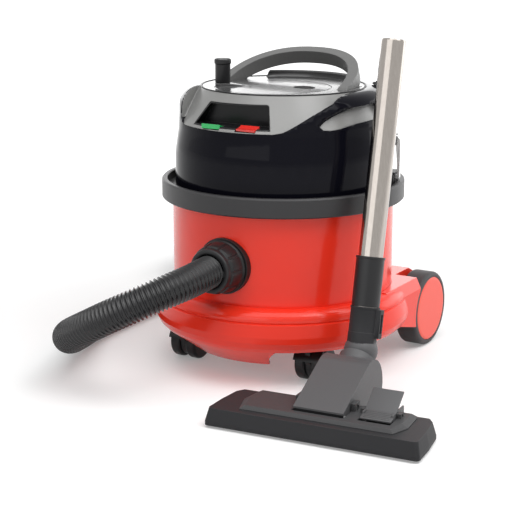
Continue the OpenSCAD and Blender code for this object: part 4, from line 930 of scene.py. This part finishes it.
# %% [markdown]
# ## Hose end
# The cuff at the hose's far end is turned too, then sixteen grip ridges are set round it.
# They are plain bars with softened edges, sunk a little into the cuff as moulded ridges
# are, so that no seam shows, and all is joined to one piece that lies on the hose.

# %% Cuff
CUFF = 0.062          # length of its turned body
CUFF_GRIPS = 16
hose_end = stops[-1]
cuff = turned("cuff", [(0.0223, -0.0199), (0.0231, -0.0199), (0.0232, -0.018), (0.0232, 0.014),
                       (0.0229, 0.016), (0.0220, 0.0185), (0.0210, CUFF - 0.0105),
                       (0.0212, CUFF - 0.0095), (0.0219, CUFF - 0.009), (0.0220, CUFF - 0.0015),
                       (0.0215, CUFF - 0.0002), (0.01615, CUFF - 0.0002),
                       (0.01608, CUFF - 0.038), (0.0151, CUFF - 0.038), (0.0151, 0.0004),
                       (0.0223, 0.0004)], 64, closed=True)
ridges = []
for i in range(CUFF_GRIPS):
    ridge = rounded_bar((0.0012, 0.0022, 0.024), (0.0212, 0, 0.035), 0.0004)
    ridge.rotation_euler = (0, 0, 2 * math.pi * i / CUFF_GRIPS)
    ridges.append(ridge)
cuff = joined([cuff] + ridges)
out_turn = math.atan2(hose_out.y, hose_out.x)
cuff.matrix_world = (Matrix.Translation(hose_end) @ Matrix.Rotation(out_turn, 4, "Z")
                     @ Matrix.Rotation(math.pi / 2, 4, "Y"))
settle(cuff, "hose_cuff", 40)
finish_with(cuff, nut_black)
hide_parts("hose_end_cuff")
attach(cuff, "tub")
print("cuff faces", len(cuff.data.polygons))

# %% [markdown]
# ## Floor tool
# The neck stands in a well and turns in it. On the real tool a curved apron under its
# front plate keeps dust out of the gap. A flat flap would swing through the sole, so the
# apron is a strip of an open cylinder about the neck's own pivot, which keeps it in the
# well at every tilt. Solidify gives the strip its wall.

# %% Neck apron
TOOL_PLACE = Matrix.Translation((0.209, -0.303, 0)) @ Matrix.Rotation(math.radians(5.5), 4, "Z")
NECK_PIVOT = Vector((0, 0.062, 0.033))
APRON_RADIUS, APRON_WIDE, APRON_DROP = 0.0296, 0.0654, 0.020
clear_choice()
bpy.ops.mesh.primitive_cylinder_add(vertices=96, radius=APRON_RADIUS, depth=APRON_WIDE,
                                    end_fill_type="NOTHING", location=NECK_PIVOT,
                                    rotation=(0, math.pi / 2, 0))
apron = bpy.context.object
fix_place(apron)
dropped = pick(apron, "FACE", lambda face: not (
    face.center.y < NECK_PIVOT.y and -APRON_DROP < face.center.z - NECK_PIVOT.z < 0.0))
bpy.ops.mesh.delete(type="FACE")
bpy.ops.object.mode_set(mode="OBJECT")
thick = apron.modifiers.new("thick", "SOLIDIFY")
thick.thickness = 0.0016
soften(apron, 0.0004, 2)
apply_all(apron)
apron.matrix_world = TOOL_PLACE
settle(apron, "neck_apron", 40)
finish_with(apron, tool_dark)
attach(apron, "neck")
print("apron faces", len(apron.data.polygons), "taken away", dropped)

# %% [markdown]
# The pedal is a thin plate with a fold, on a pin, with ribs on its tread and a cheek at
# each side. Its outline could be drawn and extruded across. A grid of two rows that is
# laid on the three lines of the fold is quicker, and Solidify and Bevel then give it the
# thickness and the soft edges of a moulding.

# %% Pedal
PEDAL_MIDDLE, PEDAL_WIDE = 0.072, 0.0396
PEDAL_LINES = [(0.0355, 0.0318), (0.0545, 0.0366), (0.0815, 0.0560)]   # y and z of the fold
PEDAL_RIBS = 5
PEDAL_PIVOT = (PEDAL_MIDDLE, 0.060, 0.033)
CHEEK_THICK, CHEEK_LENGTH, CHEEK_DEPTH = 0.0026, 0.040, 0.0165
CHEEK_LIFT = 0.0052                # its rear lower edge clears the rollers when pressed
clear_choice()
bpy.ops.mesh.primitive_grid_add(x_subdivisions=1, y_subdivisions=2, size=1,
                                location=(PEDAL_MIDDLE, 0, 0))
plate = bpy.context.object
plate.scale = (PEDAL_WIDE, 1, 1)
fix_place(plate)
for vertex in plate.data.vertices:
    place, height = PEDAL_LINES[round((vertex.co.y + 0.5) * 2)]
    vertex.co.y, vertex.co.z = place, height
thick = plate.modifiers.new("thick", "SOLIDIFY")
thick.thickness = 0.0028
thick.offset = -1
soften(plate, 0.0009, 3, 20)
apply_all(plate)
pedal_parts = [plate]
(front_y, front_z), (fold_y, fold_z) = PEDAL_LINES[:2]
tread = Vector((0, fold_y - front_y, fold_z - front_z))
tread_lean = math.atan2(tread.z, tread.y)
for i in range(PEDAL_RIBS):
    share = (i + 1) / (PEDAL_RIBS + 1)
    pedal_parts.append(rounded_bar(
        (PEDAL_WIDE - 0.006, 0.0013, 0.0014),
        (PEDAL_MIDDLE, front_y + tread.y * share, front_z + tread.z * share),
        0.0003, tread_lean))
for side in (-1, 1):
    clear_choice()
    bpy.ops.mesh.primitive_cube_add(size=1, location=(
        PEDAL_MIDDLE + side * (PEDAL_WIDE / 2 - 0.0014), 0.0640, 0.0290))
    cheek = bpy.context.object
    cheek.scale = (CHEEK_THICK, CHEEK_LENGTH, CHEEK_DEPTH)
    fix_place(cheek)
    pick(cheek, "EDGE", lambda edge: all(p.y > 0.07 and p.z < 0.03 for p in corners(edge)))
    bpy.ops.transform.translate(value=(0, 0, CHEEK_LIFT))
    bpy.ops.object.mode_set(mode="OBJECT")
    soften(cheek, 0.0008)
    apply_all(cheek)
    pedal_parts.append(cheek)
pin = turned("pin", [(0.0012, -0.0248), (0.0019, -0.0241), (0.0019, 0.0241),
                     (0.0012, 0.0248)], 24)
pin.matrix_world = Matrix.Translation(PEDAL_PIVOT) @ Matrix.Rotation(math.pi / 2, 4, "Y")
plate = joined(pedal_parts + [pin])
plate.matrix_world = TOOL_PLACE
settle(plate, "folded_pedal", 35)
finish_with(plate, tool_grey)
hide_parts("pedal")
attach(plate, "foot_pedal")
print("pedal faces", len(plate.data.polygons))

# %% [markdown]
# The wand's collar and the ball of the elbow are one moulding with two textures: the
# collar is smooth and dark, the ball below has the grain of the floor tool. A merged copy
# gets two materials, and its faces take one or the other by their height. Two pieces
# would need a seam that the real moulding doesn't have.

# %% Elbow with a dark collar
elbow = copy_of("tool_elbow", "elbow_moulding")
soften(elbow, 0.0006, 2, 40)
settle(elbow, "elbow_moulding", 40)
finish_with(elbow, tool_grey)
elbow.data.materials.append(tool_dark)
low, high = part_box("tool_elbow")
COLLAR_SHARE = 0.52   # of the elbow's height lies below the collar
collar_start = low[2] + (high[2] - low[2]) * COLLAR_SHARE
dark = 0
for face in elbow.data.polygons:
    if face.center.z > collar_start:
        face.material_index = 1
        dark += 1
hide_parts("tool_elbow")
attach(elbow, "wand")
print("elbow faces", len(elbow.data.polygons), "dark", dark)

# %% [markdown]
# ## Inside: bag, filter and brushes
# The dust bag is a soft fleece sack that fills the drum and sags between its folds. It
# could be blown up with a cloth simulation. It hangs unseen inside the drum, so it is
# turned, cut flat at the inlet, and crumpled by a Displace modifier, which costs no time.

# %% Dust bag
BAG_FRONT = -0.1335    # the flat cut at the inlet
BAG_CRUMPLE = 0.008
bag = turned("bag", [(0.012, 0.0765), (0.060, 0.0762), (0.100, 0.0765), (0.116, 0.080),
                     (0.126, 0.090), (0.135, 0.104), (0.140, 0.120), (0.1415, 0.138),
                     (0.1412, 0.152), (0.1408, 0.166), (0.139, 0.178), (0.131, 0.187),
                     (0.115, 0.190), (0.080, 0.1915), (0.040, 0.192), (0.012, 0.192)], 120)
choose(bag)
bpy.ops.object.mode_set(mode="EDIT")
bpy.ops.mesh.select_all(action="SELECT")
bpy.ops.mesh.subdivide(number_cuts=1)
bpy.ops.mesh.select_all(action="SELECT")
bpy.ops.mesh.bisect(plane_co=(0, BAG_FRONT, 0.13), plane_no=(0, -1, 0), clear_outer=True,
                    use_fill=True)
bpy.ops.object.mode_set(mode="OBJECT")
folds = bpy.data.textures.new("bag_folds", "CLOUDS")
folds.noise_scale = 0.05
crumple = bag.modifiers.new("crumple", "DISPLACE")
crumple.texture = folds
crumple.texture_coords = "LOCAL"
crumple.strength = BAG_CRUMPLE
crumple.mid_level = 1.0
settle(bag, "dust_bag_cloth", 60)
finish_with(bag, bag_felt)
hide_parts("dust_bag")
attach(bag, "tub")
print("bag faces", len(bag.data.polygons))

# %% [markdown]
# The filter above the bag is a cloth that is stretched over a frame on the drum's rim. On
# the real machine it may be pleated. Here it is a smooth turned shell: its slope and its
# two faces lie where the frame holds them, and its folds are left out.

# %% Filter cloth
filter_piece = turned("filter", [(0.010, 0.1956), (0.060, 0.1956), (0.098, 0.1956),
                                 (0.1332, 0.2486), (0.1349, 0.2432), (0.1349, 0.2498),
                                 (0.1333, 0.2498), (0.0978, 0.1971), (0.060, 0.1971),
                                 (0.010, 0.1971)], 144)
settle(filter_piece, "pleated_filter", 20)
finish_with(filter_piece, filter_felt)
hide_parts("filter_cloth")
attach(filter_piece, "tub")

# %% [markdown]
# The seal between motor and plate is a ring of foam, squeezed a little, so its edges
# round off. Its section is cut back at the four corners and turned, at the size of the
# frame's own ring.

# %% Motor seal
low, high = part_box("motor_seal")
SEAL_WIDE, SEAL_CUT = 0.011, 0.001
seal_out = (high[0] - low[0]) / 2
seal_in = seal_out - SEAL_WIDE
seal = turned("seal", [(seal_in + SEAL_CUT, low[2]), (seal_in, low[2] + SEAL_CUT),
                       (seal_in, high[2] - SEAL_CUT), (seal_in + SEAL_CUT, high[2]),
                       (seal_out - SEAL_CUT, high[2]), (seal_out, high[2] - SEAL_CUT),
                       (seal_out, low[2] + SEAL_CUT), (seal_out - SEAL_CUT, low[2])], 96,
              closed=True)
settle(seal, "foam_seal", 60)
finish_with(seal, seal_foam)
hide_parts("motor_seal")
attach(seal, "head")
print("seal faces", len(seal.data.polygons), "outer radius", round(seal_out, 4))

# %% [markdown]
# The brush strips under the floor tool are rows of nylon tufts in a narrow holder. One
# tuft of five sides is repeated by two Array modifiers, so that the whole strip stays
# light, and a bar with rounded edges holds its roots.

# %% Brush strips
STRIPS = [(-0.111, 0.111, 0.018), (-0.111, -0.0405, 0.060), (0.0405, 0.111, 0.060)]
TUFT_STEP = 0.0016
TUFT_HEIGHT, TUFT_MIDDLE = 0.0048, 0.0037
strips = []
for left_end, right_end, depth in STRIPS:
    clear_choice()
    bpy.ops.mesh.primitive_cone_add(vertices=5, radius1=0.0003, radius2=0.0006,
                                    depth=TUFT_HEIGHT,
                                    location=(left_end + 0.001, depth - 0.0009, TUFT_MIDDLE))
    tuft = bpy.context.object
    fix_place(tuft)
    repeat_by(tuft, "along", (TUFT_STEP, 0, 0), int((right_end - left_end) / TUFT_STEP))
    repeat_by(tuft, "across", (0.0004, 0.0009, 0), 3)
    apply_all(tuft)
    holder = rounded_bar((right_end - left_end, 0.0031, 0.0024),
                         ((left_end + right_end) / 2, depth, 0.00675), 0.0005)
    strips += [tuft, holder]
tufts = joined(strips)
tufts.matrix_world = TOOL_PLACE
settle(tufts, "brush_tufts", 40)
finish_with(tufts, brush_nylon)
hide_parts("brush_strips")
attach(tufts, "brushes")
print("brush faces", len(tufts.data.polygons))

# %% [markdown]
# ## Studio
# A pale floor runs out to the horizon on every side. One large soft panel hangs above, a
# second faces the front of the machine, and the key light stands to the right, where it
# draws the bright edges of the drum and the tubes. Two low panels behind the shoulders
# draw the rims, and a third behind the machine lights its upward faces at a glancing
# angle. The panels are hidden from the camera, not from reflections.

# %% Floor and world
FLOOR_DROP = 0.0004
FADE_FROM, FADE_TO = 0.5, 2.0      # metres from the machine's axis
GLOW_NEAR, GLOW_FAR = 0.22, 1.0
SKY_LIGHT = 0.288


def seen_or_mirrored(tree):
    """1 for a ray from the camera, straight or by way of gloss or glass, else 0."""
    ray = tree.nodes.new("ShaderNodeLightPath").outputs
    mirrored = calc(tree, "MAXIMUM", ray["Is Glossy Ray"], ray["Is Transmission Ray"])
    return calc(tree, "MAXIMUM", ray["Is Camera Ray"], mirrored)


clear_choice()
bpy.ops.mesh.primitive_plane_add(size=24, location=(0, 0, -FLOOR_DROP))
floor = bpy.context.object
floor.name = "studio_floor"
paper = bpy.data.materials.new("studio_paper")
paper.use_nodes = True
tree = paper.node_tree
tree.nodes.clear()
away = tree.nodes.new("ShaderNodeVectorMath")
away.operation = "LENGTH"
wire(tree, tree.nodes.new("ShaderNodeTexCoord").outputs["Object"], away.inputs[0])
fade = ranged(tree, away.outputs["Value"], FADE_FROM, FADE_TO, GLOW_NEAR, GLOW_FAR)
matte = tree.nodes.new("ShaderNodeBsdfDiffuse")
matte.inputs["Color"].default_value = (0.82, 0.82, 0.82, 1)
glow = tree.nodes.new("ShaderNodeEmission")
wire(tree, calc(tree, "MULTIPLY", seen_or_mirrored(tree), fade), glow.inputs["Strength"])
both = tree.nodes.new("ShaderNodeAddShader")
wire(tree, matte.outputs["BSDF"], both.inputs[0])
wire(tree, glow.outputs["Emission"], both.inputs[1])
end = tree.nodes.new("ShaderNodeOutputMaterial")
wire(tree, both.outputs["Shader"], end.inputs["Surface"])
floor.data.materials.append(paper)

world = bpy.data.worlds.new("studio_world")
bpy.context.scene.world = world
world.use_nodes = True
tree = world.node_tree
tree.nodes.clear()
air = tree.nodes.new("ShaderNodeBackground")
air.inputs["Color"].default_value = (1, 1, 1, 1)
wire(tree, ranged(tree, seen_or_mirrored(tree), 0, 1, SKY_LIGHT, 1.0), air.inputs["Strength"])
end = tree.nodes.new("ShaderNodeOutputWorld")
wire(tree, air.outputs["Background"], end.inputs["Surface"])
print("studio:", floor.name, world.name)

# %% Lights
LIGHT_AIM = Vector((0, 0, 0.2))


def panel(name, turn, rise, reach, width, height, glow):
    """A soft panel at a bearing and a rise in degrees from the machine, facing it."""
    turn, rise = math.radians(turn), math.radians(rise)
    way = Vector((math.sin(turn) * math.cos(rise), -math.cos(turn) * math.cos(rise),
                  math.sin(rise)))
    data = bpy.data.lights.new(name, "AREA")
    data.shape = "RECTANGLE"
    data.size, data.size_y = width, height
    data.energy = glow * math.pi * width * height
    light = bpy.data.objects.new(name, data)
    bpy.context.scene.collection.objects.link(light)
    light.location = LIGHT_AIM + way * reach
    light.rotation_euler = way.to_track_quat("Z", "Y").to_euler()
    light.visible_camera = False


# name, bearing, height, distance, width, height of the panel, radiance
PANEL_LIGHTS = [("top_panel", 31, 70, 2.3, 2.6, 2.2, 2.1),
                ("front_panel", -8, 22, 2.9, 2.6, 1.6, 1.25),
                ("key_panel", 92, 50, 2.3, 1.7, 1.5, 3.0),
                ("right_rear_panel", 152, 12, 2.8, 2.0, 1.4, 1.8),
                ("left_rear_panel", -132, 12, 2.8, 2.0, 1.4, 0.35),
                ("back_panel", 211, 12, 3.0, 3.2, 1.0, 1.4)]
for values in PANEL_LIGHTS:
    panel(*values)
bpy.context.scene.view_settings.view_transform = "Standard"
print("lights:", len(bpy.data.lights))
